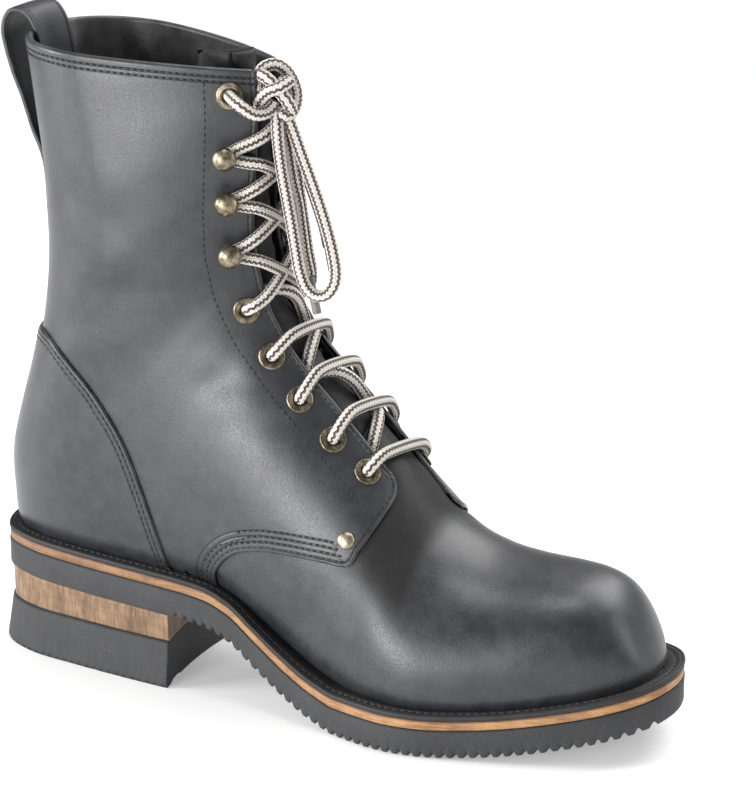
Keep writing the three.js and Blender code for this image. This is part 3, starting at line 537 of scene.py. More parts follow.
def use(net, tree, **inputs):
    """Outputs of a node group placed in a material."""
    made = net.tree.nodes.new("ShaderNodeGroup")
    made.node_tree = tree
    for name, value in inputs.items():
        socket = made.inputs[name.replace("_", " ")]
        if isinstance(value, bpy.types.NodeSocket):
            net.tree.links.new(value, socket)
        else:
            socket.default_value = value
    return made.outputs


def hide_parts(net, given):
    """Pores, wrinkles and cloudy tone of smooth oiled hide."""
    where = net.place()
    pores = net.span(net.cells(where, 1500.0), 0.05, 0.55)
    grain = net.noise(where, 900.0, 2.0, 0.6)
    pull = net.noise(net.place((1, 1, 0.35)), 190.0, 4.0, 0.6, 0.4)
    height = net.math("ADD", net.math("MULTIPLY", pores, 0.35), net.math("MULTIPLY", grain, 0.3))
    height = net.math("ADD", height, net.math("MULTIPLY", pull, given["Wrinkle"]))
    cloud = net.noise(where, 26.0, 4.0, 0.6)
    fine = net.noise(where, 160.0, 3.0, 0.6)
    tone = net.math("ADD", net.math("MULTIPLY", cloud, 0.55), net.math("MULTIPLY", fine, 0.45))
    return {"Height": height, "Tone": net.span(tone, 0.34, 0.66), "Fine": fine}


HIDE = shared("hide", {"Wrinkle": 0.5}, {"Height": "Float", "Tone": "Float", "Fine": "Float"}, hide_parts)


def row_parts(net, given):
    """Depth of one pressed stitch row."""
    off = net.math("ABSOLUTE", net.math("SUBTRACT", given["Away"], given["Row"]))
    trough = net.math("SUBTRACT", 1.0, net.span(off, 0.0, given["Width"]))
    return {"Trough": trough}


ROW = shared("stitch row", {"Away": 50.0, "Row": 2.0, "Width": 0.7}, {"Trough": "Float"}, row_parts)


def material(name, build):
    """A Principled material whose inputs come from a building function."""
    made = bpy.data.materials.new(name)
    made.use_nodes = True
    tree = made.node_tree
    shader = tree.nodes["Principled BSDF"]
    net = Net(tree)
    for label, value in build(net).items():
        socket = shader.inputs[label]
        if isinstance(value, bpy.types.NodeSocket):
            tree.links.new(value, socket)
        else:
            socket.default_value = value
    return made


def leather(name, dark, light, rough=0.38, wrinkle=0.5, rows=(), edges=(), coat=0.25, holes=False, throat=False):
    """Oiled hide; rows are (mark, distance) of pressed stitch rows, edges the marks of cut edges."""

    def build(net):
        hide = use(net, HIDE, Wrinkle=wrinkle)
        colour = net.mix(hide["Tone"], dark, light)
        trough = None
        for mark, away in rows:
            one = use(net, ROW, Away=net.mark(mark), Row=away, Width=0.75)["Trough"]
            trough = one if trough is None else net.math("MAXIMUM", trough, one)
        depth = net.bump(hide["Height"], 0.00013)
        if trough is not None:
            # Painted shade: the colour is darkened along each pressed stitch trough, where shade falls in the
            # groove
            colour = net.mix(net.math("MULTIPLY", trough, 0.7), colour, tuple(c * 0.35 for c in dark))
            depth = net.bump(net.math("SUBTRACT", 1.0, trough), 0.00035, depth)
        for mark in edges:
            near = net.math("SUBTRACT", 1.0, net.span(net.mark(mark), 0.1, 1.1))
            worn = net.math("MULTIPLY", near, net.span(hide["Fine"], 0.4, 0.62))
            colour = net.mix(net.math("MULTIPLY", worn, 0.5), colour, tuple(c * 2.2 for c in light))
        gloss = net.math("ADD", rough - 0.08, net.math("MULTIPLY", hide["Fine"], 0.18))
        if throat:
            # Painted shade: where the throat mark is set, the vamp colour goes near black for the shade between
            # and under the facings, and the roughness rises
            colour = net.mix(net.mark("throat"), colour, (0.004, 0.004, 0.005))
            gloss = net.math("ADD", gloss, net.math("MULTIPLY", net.mark("throat"), 0.42))
        if holes:
            lining = net.mix(hide["Tone"], (0.03, 0.03, 0.031), (0.075, 0.075, 0.078))
            colour = net.mix(net.mark("lining"), colour, lining)
            # Painted shade: a near-black disc under each eyelet's hole stands for the shade down the hole
            hole = net.math("SUBTRACT", 1.0, net.span(net.mark("hole"), 2.6, 3.0))
            colour = net.mix(hole, colour, (0.002, 0.002, 0.002))
        return {"Base Color": colour, "Roughness": gloss, "Normal": depth, "Coat Weight": coat,
                "Coat Roughness": 0.3, "Specular IOR Level": 0.5}

    return material(name, build)


SKIN_DARK, SKIN_LIGHT = (0.0145, 0.0152, 0.0175), (0.030, 0.0315, 0.036)
quarter_skin = leather("quarter leather", SKIN_DARK, SKIN_LIGHT, holes=True, edges=("front", "rim"), rows=(
    ("front", QUARTER_ROWS[0]), *(("lower", away) for away in QUARTER_ROWS[1:]),
    *(("rim", away) for away in COLLAR_ROWS), ("facing", FACING_ROW)))
vamp_skin = leather("vamp leather", SKIN_DARK, SKIN_LIGHT, rough=0.38, coat=0.2, throat=True)
counter_skin = leather("counter leather", SKIN_DARK, SKIN_LIGHT, edges=("front",),
                       rows=tuple(("front", away) for away in COUNTER_ROWS))
strap_skin = leather("strap leather", SKIN_DARK, SKIN_LIGHT, rough=0.52, coat=0.05, edges=("side",),
                     rows=(("side", STRAP_ROW),))
tongue_skin = leather("tongue leather", (0.007, 0.007, 0.008), (0.018, 0.018, 0.02), rough=0.68, wrinkle=0.9,
                      coat=0.0)
insole_skin = leather("insole leather", (0.16, 0.09, 0.05), (0.25, 0.15, 0.085), rough=0.7, coat=0.0)


def welt_build(net):
    """Dull welt leather with its pressed stitch row."""
    hide = use(net, HIDE, Wrinkle=0.3)
    trough = use(net, ROW, Away=net.mark("inset"), Row=WELT_ROW, Width=0.9)["Trough"]
    second = use(net, ROW, Away=net.mark("inset"), Row=1.5, Width=0.45)["Trough"]
    trough = net.math("MAXIMUM", trough, net.math("MULTIPLY", second, 0.5))
    colour = net.mix(hide["Tone"], (0.006, 0.006, 0.007), (0.018, 0.018, 0.02))
    depth = net.bump(hide["Height"], 0.00008)
    depth = net.bump(net.math("SUBTRACT", 1.0, trough), 0.0005, depth)
    return {"Base Color": colour, "Roughness": 0.62, "Normal": depth}


def edge_build(net):
    """Cut edge of sole leather: long streaks, a darker line above and stain in places."""
    where = net.place((0.25, 0.25, 6.0))
    streak = net.noise(where, 420.0, 4.0, 0.65)
    spot = net.noise(net.place(), 90.0, 4.0, 0.6)
    tone = net.math("ADD", net.math("MULTIPLY", streak, 0.6), net.math("MULTIPLY", spot, 0.4))
    colour = net.mix(net.span(tone, 0.35, 0.65), (0.19, 0.085, 0.032), (0.50, 0.27, 0.115))
    height = net.mark("height")
    under = net.math("SUBTRACT", 1.0, net.span(height, 0.0, 0.16))
    shade = net.math("MAXIMUM", net.span(height, 0.72, 0.95), under)
    colour = net.mix(net.math("MULTIPLY", shade, 0.75), colour, (0.06, 0.03, 0.016))
    ahead = net.node("SeparateXYZ", {0: net.place()}).outputs[0]
    back = net.math("SUBTRACT", 1.0, net.span(ahead, -0.12, 0.06))
    colour = net.mix(net.math("MULTIPLY", back, 0.5), colour, (0.06, 0.025, 0.014))
    depth = net.bump(streak, 0.00025)
    return {"Base Color": colour, "Roughness": 0.55, "Normal": depth,
            "Coat Weight": 0.08, "Coat Roughness": 0.4}


def stack_build(net):
    """Sanded heel lifts: upright sanding streaks, fibres and thin glue lines between layers."""
    fibre = net.noise(net.place((1.0, 1.0, 0.12)), 620.0, 4.0, 0.7)
    cloud = net.noise(net.place(), 70.0, 4.0, 0.6)
    tone = net.math("ADD", net.math("MULTIPLY", fibre, 0.6), net.math("MULTIPLY", cloud, 0.4))
    colour = net.mix(net.span(tone, 0.36, 0.64), (0.10, 0.054, 0.028), (0.27, 0.17, 0.092))
    layer = net.math("MULTIPLY", net.mark("height"), 3.0)
    off = net.math("ABSOLUTE", net.math("SUBTRACT", net.math("FRACT", layer), 0.5))
    line = net.math("SUBTRACT", 1.0, net.span(off, 0.0, 0.06))
    line = net.math("MULTIPLY", line, net.span(cloud, 0.3, 0.6))
    colour = net.mix(net.math("MULTIPLY", line, 0.5), colour, (0.05, 0.025, 0.014))
    return {"Base Color": colour, "Roughness": 0.62, "Normal": net.bump(fibre, 0.0002), "Coat Weight": 0.04}


def rubber_build(net):
    """Moulded rubber with fine pits and a little dust."""
    where = net.place()
    fine = net.noise(where, 1300.0, 2.0, 0.6)
    pit = net.cells(where, 700.0)
    dust = net.span(net.noise(where, 2300.0, 2.0, 0.5), 0.60, 0.72)
    patch = net.span(net.noise(where, 120.0, 4.0, 0.65), 0.42, 0.68)
    colour = net.mix(net.noise(where, 60.0), (0.021, 0.0215, 0.0235), (0.037, 0.038, 0.041))
    dust = net.math("MULTIPLY", net.math("MULTIPLY", dust, patch), 0.55)
    colour = net.mix(dust, colour, (0.16, 0.15, 0.14))
    height = net.math("ADD", net.math("MULTIPLY", fine, 0.6), net.math("MULTIPLY", pit, 0.4))
    return {"Base Color": colour, "Roughness": 0.72, "Normal": net.bump(height, 0.00022)}


def brass_build(net, film=(0.13, 0.105, 0.068), rubbed=(0.37, 0.32, 0.225)):
    """Aged brass: brown film and rubbed bright patches mixed by noise, with fine scratches."""
    where = net.place()
    tarnish = net.noise(where, 330.0, 4.0, 0.65)
    scratch = net.noise(net.place((1.0, 6.0, 1.0)), 900.0, 2.0, 0.5)
    colour = net.mix(net.span(tarnish, 0.38, 0.66), film, rubbed)
    rough = net.math("ADD", 0.26, net.math("MULTIPLY", tarnish, 0.25))
    return {"Base Color": colour, "Metallic": 1.0, "Roughness": rough, "Normal": net.bump(scratch, 0.00002)}


def lace_build(net):
    """Round braid: cream with five brown lines, toothed by the plait."""
    turn = net.node("SeparateXYZ", {0: net.mark("round", "Vector")}).outputs
    angle = net.math("DIVIDE", net.math("ARCTAN2", turn[1], turn[0]), 2 * math.pi)
    way = net.math("DIVIDE", turn[2], 1.9)
    saw = net.math("ABSOLUTE", net.math("SUBTRACT", net.math("FRACT", way), 0.5))
    lane = net.math("ADD", net.math("MULTIPLY", angle, 5.0), net.math("MULTIPLY", saw, 0.5))
    stripe = net.math("ABSOLUTE", net.math("SUBTRACT", net.math("FRACT", lane), 0.5))
    brown = net.math("SUBTRACT", 1.0, net.span(stripe, 0.17, 0.23))
    fuzz = net.noise(net.place(), 1800.0, 3.0, 0.6)
    cream = net.mix(fuzz, (0.64, 0.60, 0.53), (0.90, 0.88, 0.83))
    colour = net.mix(brown, cream, net.mix(fuzz, (0.05, 0.028, 0.022), (0.13, 0.08, 0.062)))
    strands = net.math("MULTIPLY", angle, 8.0)
    both = (net.math("MULTIPLY", net.math(hand, way, strands), 2 * math.pi) for hand in ("ADD", "SUBTRACT"))
    plait = net.math("MULTIPLY", *(net.math("SINE", one) for one in both))
    depth = net.bump(fuzz, 0.00015, net.bump(plait, 0.00028))
    return {"Base Color": colour, "Roughness": 0.85, "Normal": depth,
            "Sheen Weight": 0.15, "Sheen Roughness": 0.5}


welt_skin = material("welt leather", welt_build)
edge_skin = material("midsole edge", edge_build)
stack_skin = material("heel stack", stack_build)
rubber = material("sole rubber", rubber_build)
brass = material("aged brass", brass_build)
pale_brass = material("rubbed brass", lambda net: brass_build(net, (0.30, 0.25, 0.19), (0.52, 0.45, 0.35)))
braid = material("lace braid", lace_build)
thread = material("stitch thread", lambda net: {"Base Color": (0.006, 0.006, 0.006, 1), "Roughness": 0.6})
welt_thread = material("welt thread", lambda net: {"Base Color": (0.035, 0.032, 0.03, 1), "Roughness": 0.6})
tip_skin = material("lace tip", lambda net: {
    "Base Color": net.mix(net.noise(net.place(), 500.0), (0.12, 0.11, 0.1), (0.2, 0.19, 0.18)), "Roughness": 0.35})


def finish_piece(name, bm, skin, nodes=()):
    """The bmesh as a smooth-shaded piece on the boot, standing for the given nodes."""
    bmesh.ops.recalc_face_normals(bm, faces=bm.faces)
    mesh = bpy.data.meshes.new(name)
    bm.to_mesh(mesh)
    bm.free()
    mesh.polygons.foreach_set("use_smooth", [True] * len(mesh.polygons))
    mesh.materials.append(skin)
    piece = bpy.data.objects.new(name, mesh)
    bpy.context.scene.collection.objects.link(piece)
    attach(piece, "root")
    if nodes:
        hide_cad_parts(*nodes)
    return piece


def sheets(name, shapes, across, along_, skin, nodes=()):
    """Grids bent to functions of u and v that give points and marks, joined where their edges meet."""
    bm = bmesh.new()
    counts = []
    for _ in shapes:
        bmesh.ops.create_grid(bm, x_segments=across, y_segments=along_, size=0.5)
        counts.append(len(bm.verts))
    uv = np.array([v.co[:2] for v in bm.verts]) + 0.5
    found = [shape(*uv[a:b].T) for shape, a, b in zip(shapes, [0, *counts], counts)]
    layers = {}
    for label, values in found[0][1].items():
        kind = bm.verts.layers.float_vector if np.ndim(values) > 1 else bm.verts.layers.float
        layers[label] = kind.new(label)
    bm.verts.ensure_lookup_table()
    points = to_frame(np.vstack([points for points, _ in found]))
    marks = {label: np.concatenate([np.asarray(m[label], float) for _, m in found]) for label in layers}
    for i, vert in enumerate(bm.verts):
        vert.co = points[i]
        for label, layer in layers.items():
            vert[layer] = marks[label][i]
    bmesh.ops.remove_doubles(bm, verts=bm.verts, dist=2e-6)
    return finish_piece(name, bm, skin, nodes)


def spaced(near, share, power=1.6):
    """A map of 0..1 to 0..1 with extra points close to both ends."""

    def go(u, size):
        edge = near / size
        low = edge * np.clip(u / share, 0, 1) ** power
        high = 1 - edge * np.clip((1 - u) / share, 0, 1) ** power
        mid = edge + (1 - 2 * edge) * (u - share) / (1 - 2 * share)
        return np.where(u < share, low, np.where(u > 1 - share, high, mid))

    return go


def rounded(distance, radius):
    """Share of full thickness at a distance from a rounded edge."""
    t = np.clip(distance / radius, 0, 1)
    return np.sqrt(np.clip(1 - (1 - t) ** 2, 0, 1))


# Soft creases: ends in side view as shares, depth and width in millimetres
CREASES = table("side x1 z1 x2 z2 depth width", """
-1 .50 .36 .40 .30 .55 7
-1 .46 .40 .34 .37 .45 6
-1 .30 .56 .16 .52 .5 8
-1 .26 .50 .13 .46 .4 7
-1 .66 .13 .60 .06 .4 6
-1 .13 .75 .27 .66 .4 9
1 .50 .36 .40 .30 .5 7
1 .46 .41 .34 .38 .45 6
1 .30 .55 .16 .53 .5 8
1 .27 .49 .13 .45 .4 7
1 .66 .13 .60 .06 .4 6
1 .14 .74 .28 .67 .4 9""")


def crease(points):
    """Depth of the soft troughs at points of the last."""
    total = np.zeros(len(points))
    for i in range(len(CREASES["side"])):
        side, x1, z1, x2, z2, depth, width = (CREASES[k][i] for k in CREASES)
        a = np.array([x1 * LENGTH, SEAT + z1 * SHAFT])
        b = np.array([x2 * LENGTH, SEAT + z2 * SHAFT])
        q = points[:, [0, 2]] - a
        size = np.linalg.norm(b - a)
        t = q @ (b - a) / size**2
        off = q @ np.array([-(b - a)[1], (b - a)[0]]) / size
        shape = np.exp(-(off / width) ** 2) - 0.45 * np.exp(-((np.abs(off) - 1.7 * width) / width) ** 2)
        fade = np.exp(-np.abs(2 * t - 1) ** 3 * 1.6)
        total += np.where(points[:, 1] * side > -4, depth * shape * fade, 0)
    return total


# Cut lines of the upper as rows and turns of the last
def side_line(rows, side, ahead=0.0, count=90):
    """A side-view cut line on the last, evenly spaced, from its first row on."""
    share = np.clip((rows["x"] - rows["x"][0]) / (rows["x"][-1] - rows["x"][0]), 0, None)
    flat = np.stack([rows["x"] * LENGTH + ahead * share, SEAT + rows["z"] * SHAFT], 1)
    flat = even(np.hstack([spline(np.hstack([flat, np.zeros((len(flat), 1))]), 8)]), count=4 * count)
    v, turn = locate(flat[:, 0], flat[:, 1], side)
    return v, turn


def quarter_edge(side, count):
    """The quarter's front edge from the sole up to the facing, in rows and shares of the way up."""
    v, turn = side_line(QUARTER_EDGE, side, MEDIAL_FLAP if side > 0 else 0.0)
    share = (1 - np.abs(turn)) / (1 - turn_at(v, throat_half(v)))
    stop = np.argmax(share >= 1) if (share >= 1).any() else len(share)
    v, share = v[:stop], share[:stop]
    line = np.stack([v, share], 1)
    line = np.vstack([[line[0, 0], 0.0], line, [line[-1, 0], 1.0]])
    turn = side * (1 - (1 - turn_at(line[:, 0], throat_half(line[:, 0]))) * line[:, 1])
    corner, spot = line[-1], form(line[-1, 0], turn[-1])
    before = line[np.linalg.norm(form(line[:, 0], turn) - spot, axis=1) > CORNER]
    row_size = np.linalg.norm(form(corner[0] + 0.5, turn[-1]) - form(corner[0] - 0.5, turn[-1]))
    beyond = corner + (CORNER / row_size, 0.0)
    t = np.linspace(0.05, 1, 14)[:, None]
    line = np.vstack([before, (1 - t) ** 2 * before[-1] + 2 * t * (1 - t) * corner + t**2 * beyond])
    turn = side * (1 - (1 - turn_at(line[:, 0], throat_half(line[:, 0]))) * line[:, 1])
    solid = np.hstack([form(line[:, 0], turn), line])
    return even(solid, count=count)[:, 3:]


HALF_COLUMNS, EDGE_STEPS = 120, 240
LAST_ROW_X = 0.583 * LENGTH + 12
CORNER = 9.0
EDGES = {side: quarter_edge(side, EDGE_STEPS + 1) for side in (-1, 1)}


def edge_points(side):
    """The front edge of one quarter in rows and turns."""
    line = EDGES[side]
    turn = side * (1 - (1 - turn_at(line[:, 0], throat_half(line[:, 0]))) * line[:, 1])
    return line[:, 0], turn


def line_rows(lines, at, side):
    """Rows and their second column at steps along the line of each point's own side."""
    steps = np.arange(len(lines[1]))
    found = {s: np.stack([np.interp(at, steps, lines[s][:, k]) for k in (0, 1)], 1) for s in (-1, 1)}
    return np.where(side[:, None] < 0, found[-1], found[1])


def past_rows(points, side):
    """How far points lie ahead of the slanting end of the lower stitch rows."""
    return points[:, 0] + 0.4 * (points[:, 2] - SEAT) - side * 6 - LAST_ROW_X


def row_at_height(turn_of, share, drop):
    """Row at which the last is a drop under the collar, for shares of the way round a quarter."""
    low, high = np.full(share.shape, 24.0), np.full(share.shape, float(LAST))
    for _ in range(30):
        mid = (low + high) / 2
        p = form(mid, turn_of(mid, share))
        over = p[:, 2] > collar(p[:, 0]) - drop
        high, low = np.where(over, mid, high), np.where(over, low, mid)
    return (low + high) / 2


def quarter_shape(top):
    near_front, near_side = spaced(2.2, 0.055), spaced(2.2, 0.03)

    def shape(u, v):
        side = np.where(u < 0.5, -1.0, 1.0)
        way = near_side(u, 420.0)
        column = np.abs(2 * way - 1)
        start = line_rows(EDGES, column * EDGE_STEPS, side)
        end = row_at_height(lambda a, s: side * (1 - (1 - turn_at(a, throat_half(a))) * s), column, 0.0)
        share = near_front(v, 230.0)
        row = start[:, 0] + (end - start[:, 0]) * share
        s = start[:, 1] + (column - start[:, 1]) * share
        turn = side * (1 - (1 - turn_at(row, throat_half(row))) * s)
        base = form(row, turn)
        front = np.where(side < 0, distance_to(base, FRONT_LINES[-1]), distance_to(base, FRONT_LINES[1]))
        lower = front + 50 * smooth(-2, 0, past_rows(base, side))
        rim = np.clip(collar(base[:, 0]) - base[:, 2], 0, None)
        facing = np.where(side < 0, distance_to(base, FACING_LINES[-1]), distance_to(base, FACING_LINES[1]))
        hole = np.min([np.linalg.norm(base - c, axis=1) for c in HOLE_CENTRES], axis=0)
        thick = rounded(rim, 1.4) * rounded(facing, 1.4)
        if top > 0:
            lip = 0.35 * (np.exp(-((front - 1.0) / 1.3) ** 2) + np.exp(-((facing - 1.6) / 1.5) ** 2))
            front_thick = 0.35 + 0.65 * rounded(front, 1.3)
            grow = SKIN_MID + SKIN_HALF * thick * np.where(facing > 0.01, front_thick, 1) + lip * thick
            grow = grow - crease(base) * smooth(3, 14, np.minimum(front, rim)) * smooth(14, 28, facing)
            rows_near = [(front, QUARTER_ROWS[0]), *((lower, away) for away in QUARTER_ROWS[1:]),
                         *((rim, away) for away in COLLAR_ROWS), (facing, FACING_ROW)]
            for d, r in rows_near:
                grow = grow - 0.13 * np.exp(-((d - r) / 0.9) ** 2)
        else:
            wave = 0.7 * np.sin(turn * 34 + 0.3 * row) * smooth(25, 29, row)
            wave = wave + 0.3 * np.sin(turn * 61 + 0.8 * row)
            grow = SKIN_MID - SKIN_HALF * thick - wave * smooth(4, 20, facing) * smooth(4, 18, rim)
        if top < 0:
            front, rim, facing, lower = (np.where(d < 1, d, 50.0) for d in (front, rim, facing, lower))
        grow = grow + 1.8 * np.exp(-(front / 6) ** 2) * (side > 0) * smooth(90, 110, base[:, 2]) * thick
        marks = {"front": front, "lower": lower, "rim": rim, "facing": facing, "hole": hole,
                 "lining": np.full(len(row), float(top < 0))}
        return base + normal(row, turn) * grow[:, None], marks

    return shape


FRONT_LINES, FACING_LINES = {}, {}
for side in (-1, 1):
    FRONT_LINES[side] = form(*(row[::3] for row in edge_points(side)))
    rows = np.linspace(EDGES[side][-1, 0], LAST, 30)
    FACING_LINES[side] = form(rows, side * turn_at(rows, throat_half(rows)))
HOLE_CENTRES = [form(*place(spot, side)) for spot in EYELETS for side in (-1, 1)]

sheets("quarters", [quarter_shape(1), quarter_shape(-1)], 2 * HALF_COLUMNS, 120, quarter_skin,
                  ["upper"])


# Vamp: from the toe to under the tongue at its middle and under the quarters at its sides
VAMP_TOP, VAMP_BACK = THROAT_FIRST + 1.1, 14.6


def vamp_shape(top):
    def shape(u, v):
        turn = 2 * u - 1
        end = VAMP_TOP + (VAMP_BACK - VAMP_TOP) * smooth(0.28, 0.48, np.abs(turn))
        row = end * (1 - (1 - v) ** 1.25)
        base = form(row, turn)
        grow = (0.0 if top > 0 else -WALL) - crease(base)
        grow = grow * np.ones(len(row))
        if top > 0:
            lines = np.minimum(distance_to(base, FRONT_LINES[-1]), distance_to(base, FRONT_LINES[1]))
            grow -= 0.25 * np.exp(-(lines / 2.5) ** 2)
        middle = 1 - smooth(0.2, 0.3, np.abs(turn))
        grow = grow - 2.6 * smooth(THROAT_FIRST - 0.1, THROAT_FIRST + 1.0, row) * middle
        edge = rounded((1 - v) * 150, 2.0)
        grow = grow - top * 0.9 * (1 - edge) * (v > 0.9)
        # Mask for the painted shade on the vamp between the facings, reaching lower on the medial side
        throat = smooth(THROAT_FIRST - 1.35, THROAT_FIRST - 0.85, row + 1.4 * np.clip(turn, 0, 0.3))
        throat = throat * (1 - smooth(0.3, 0.4, np.abs(turn)))
        return base + normal(row, turn) * grow[:, None], {"throat": throat}

    return shape


vamp = sheets("vamp", [vamp_shape(1), vamp_shape(-1)], 180, 120, vamp_skin)
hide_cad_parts("upper")


# Counter over the heel, with its edge raised from the quarters
COUNTER_TOP, COUNTER_STEPS = 24.05, 160


def counter_shape(top):
    lines = {}
    for side in (-1, 1):
        v, turn = side_line({k: column[2:] for k, column in COUNTER_EDGE.items()}, side)
        v, turn = np.append(COUNTER_TOP, v), np.append(side * 1.0, turn)
        solid = np.hstack([form(v, turn), np.stack([v, turn], 1)])
        lines[side] = even(solid, count=COUNTER_STEPS + 1)[:, 3:]
    near = spaced(2.4, 0.06)

    def shape(u, v):
        side = np.where(u < 0.5, -1.0, 1.0)
        start = line_rows(lines, v * COUNTER_STEPS, side)
        share = near(np.abs(2 * u - 1) * 0.5 + 0.5, 300.0) * 2 - 1
        row, turn = start[:, 0], side * (1 - (1 - np.abs(start[:, 1])) * share)
        base = form(row, turn)
        line = {s: form(lines[s][:, 0], lines[s][:, 1]) for s in (-1, 1)}
        front = np.where(side < 0, distance_to(base, line[-1]), distance_to(base, line[1]))
        if top > 0:
            grow = LAYER + 1.7 * rounded(front, 1.5) - crease(base)
            for r in COUNTER_ROWS:
                grow = grow - 0.13 * np.exp(-((front - r) / 0.9) ** 2)
        else:
            grow = np.full(len(row), LAYER)
        return base + normal(row, turn) * grow[:, None], {"front": front}

    return shape, lines


counter_top, COUNTER_LINES = counter_shape(1)
sheets("counter", [counter_top, counter_shape(-1)[0]], 140, 90, counter_skin,
                 ["heel_counter"])


# Tongue: flat across the gap, tucked under the facings, with puckers and a folded top
TONGUE_FIRST = THROAT_FIRST - 1.2
TONGUE_LAST = float(locate(0.44 * LENGTH, collar(0.4 * LENGTH) - 2, 1)[0])


def tongue_shape(top):
    def shape(u, v):
        row = TONGUE_FIRST + (TONGUE_LAST + 0.9 - TONGUE_FIRST) * v
        half = throat_half(row)
        reach = (2 * u - 1) * (half + 9.0 + 9.0 * smooth(TONGUE_LAST - 3, TONGUE_LAST, row))
        edge = turn_at(row, half)
        turn = np.sign(reach) * turn_at(row, np.abs(reach))
        sink = 3.4 + 3.6 * smooth(half - 6, half + 6, np.abs(reach)) + 0.4 * np.sin(row * 5.2 + u * 4)
        sink = sink + 15.0 * smooth(TONGUE_LAST - 2.2, TONGUE_LAST + 0.9, row)
        left, right = on_form(row, -edge, -sink), on_form(row, edge, -sink)
        share = np.clip((reach / half + 1) / 2, 0, 1)[:, None]
        flat = left + (right - left) * share + normal(row, 0 * row) * 1.1 * np.sin(share * np.pi)
        outer = on_form(row, turn, -sink)
        points = np.where((np.abs(reach) < half)[:, None], flat, outer)
        thick = 1.0 * rounded(np.minimum(u, 1 - u) * 40, 1.2) * rounded((1 - v) * 200, 1.2)
        out = normal(row, np.where(np.abs(reach) < half, 0, turn))
        points = points + out * ((top * thick) - 0.6)[:, None]
        return points, {}

    return shape


sheets("tongue_leather", [tongue_shape(1), tongue_shape(-1)], 44, 150, tongue_skin,
       ["tongue"])


# Back strap and pull loop: one strip from inside the collar, over it and down the back seam
def strap_shape(top):
    z = SEAT + STRAP["z"] * SHAFT
    back = curve(ROWS["bx"], locate(np.full(len(z), 0.02 * LENGTH), np.minimum(z, SEAT + SHAFT), 1)[0])
    xs = STRAP["x"] + back

    def shape(u, v):
        at = v * (len(xs) - 1)
        p = np.stack([curve(xs, at), curve(z, at)], 1)
        ahead = np.stack([curve(xs, at + 0.02), curve(z, at + 0.02)], 1) - p
        ahead /= np.linalg.norm(ahead, axis=1)[:, None]
        out = np.stack([-ahead[:, 1], ahead[:, 0]], 1)
        across = spaced(1.6, 0.14)(u, 26.0) * 2 - 1
        side = (1 - np.abs(across)) * 13
        thick = 1.1 * (0.15 + 0.85 * rounded(side, 1.1)) * rounded(np.minimum(v, 1 - v) * 240, 1.0)
        thick = thick * np.where((u < 1e-6) | (u > 1 - 1e-6), 0, 1)
        thick = thick - 0.12 * np.exp(-((side - STRAP_ROW) / 0.8) ** 2) * (thick > 0.3)
        sag = curve(STRAP["sag"], at) * across**2
        grow = -top * thick
        x = p[:, 0] + grow * out[:, 0] + sag
        return np.stack([x, across * 13, p[:, 1] + grow * out[:, 1]], 1), {"side": side}

    return shape


sheets("strap", [strap_shape(1), strap_shape(-1)], 30, 150, strap_skin, ["pull_loop"])


# Sole pieces: sections along the length, each a closed row of points
def sole_loft(name, stations, section, skin, nodes):
    """A solid from upright sections; section(x) gives rows of (inset, side, z, height mark) around it."""
    ring = section(np.array([150.0]))
    count = len(ring)
    bm = bmesh.new()
    bmesh.ops.create_grid(bm, x_segments=count, y_segments=len(stations) - 1, size=0.5)
    bm.verts.ensure_lookup_table()
    uv = np.array([v.co[:2] for v in bm.verts]) + 0.5
    column = np.round(uv[:, 0] * count).astype(int) % count
    station = np.round(uv[:, 1] * (len(stations) - 1)).astype(int)
    rows = section(stations)
    where = np.empty((count, len(stations), 3))
    height = np.empty((count, len(stations)))
    for i, (inset, side, z, share) in enumerate(rows):
        held, y = side_at(stations, inset, side if side else -1)
        where[i] = np.stack([held, y if side else 0 * held, z + 0 * held], 1)
        height[i] = share
    layer = bm.verts.layers.float.new("height")
    points = to_frame(where[column, station])
    for i, vert in enumerate(bm.verts):
        vert.co = points[i]
        vert[layer] = height[column[i], station[i]]
    bmesh.ops.remove_doubles(bm, verts=bm.verts, dist=2e-6)
    ends = [e for e in bm.edges if e.is_boundary]
    if ends:
        bmesh.ops.holes_fill(bm, edges=ends)
    return finish_piece(name, bm, skin, nodes)


def stations_for(low, high, step):
    """Places along the sole, closer together at both ends."""
    bend = 12 * (1 - np.cos(np.linspace(0, np.pi / 2, 26)))
    return np.unique(np.round(np.concatenate([low + bend, np.arange(low, high, step), high - bend]), 4))


def tooth(x):
    """Depth of the saw-toothed tread at a place."""
    phase = ((x - TREAD_START) / TREAD_PITCH) % 1.0
    shape = np.interp(phase, [0, 0.18, 0.36, 0.58, 1], [0, 1, 1, 0, 0])
    return TREAD_DEPTH * shape * (x > TREAD_START) * (x < LENGTH - 4)


def outsole_section(x):
    low, high = tread(x) + tooth(x), outsole_top(x)
    one = 0 * x
    rows = []
    for side in (-1, 1):
        part = [(30.0, side, low, one), (0.9, side, low, one), (0.25, side, low + 0.35, one + 0.05),
                (0.0, side, low + 1.1, one + 0.1), (0.15, side, (low + high) / 2, one + 0.5),
                (0.0, side, high - 0.9, one + 0.9), (0.3, side, high - 0.25, one + 0.95),
                (1.0, side, high, one + 1), (30.0, side, high, one + 1)]
        rows += part if side < 0 else part[::-1]
    return rows


sole_loft("treaded_sole", stations_for(0.0, LENGTH, 0.45), outsole_section, rubber, ["outsole"])


def midsole_section(x):
    low, high = outsole_top(x) + 0.15, midsole_top(x) + 0.1
    one = 0 * x
    rows = []
    for side in (-1, 1):
        part = [(30.0, side, low, one), (0.7, side, low, one), (0.35, side, low + 0.3, one + 0.08),
                (0.25, side, (low + high) / 2, one + 0.5), (0.35, side, high - 0.3, one + 0.92),
                (0.8, side, high, one + 1), (30.0, side, high, one + 1)]
        rows += part if side < 0 else part[::-1]
    return rows


sole_loft("midsole_edge", stations_for(0.3, LENGTH - 0.3, 1.5), midsole_section, edge_skin,
                    ["midsole"])


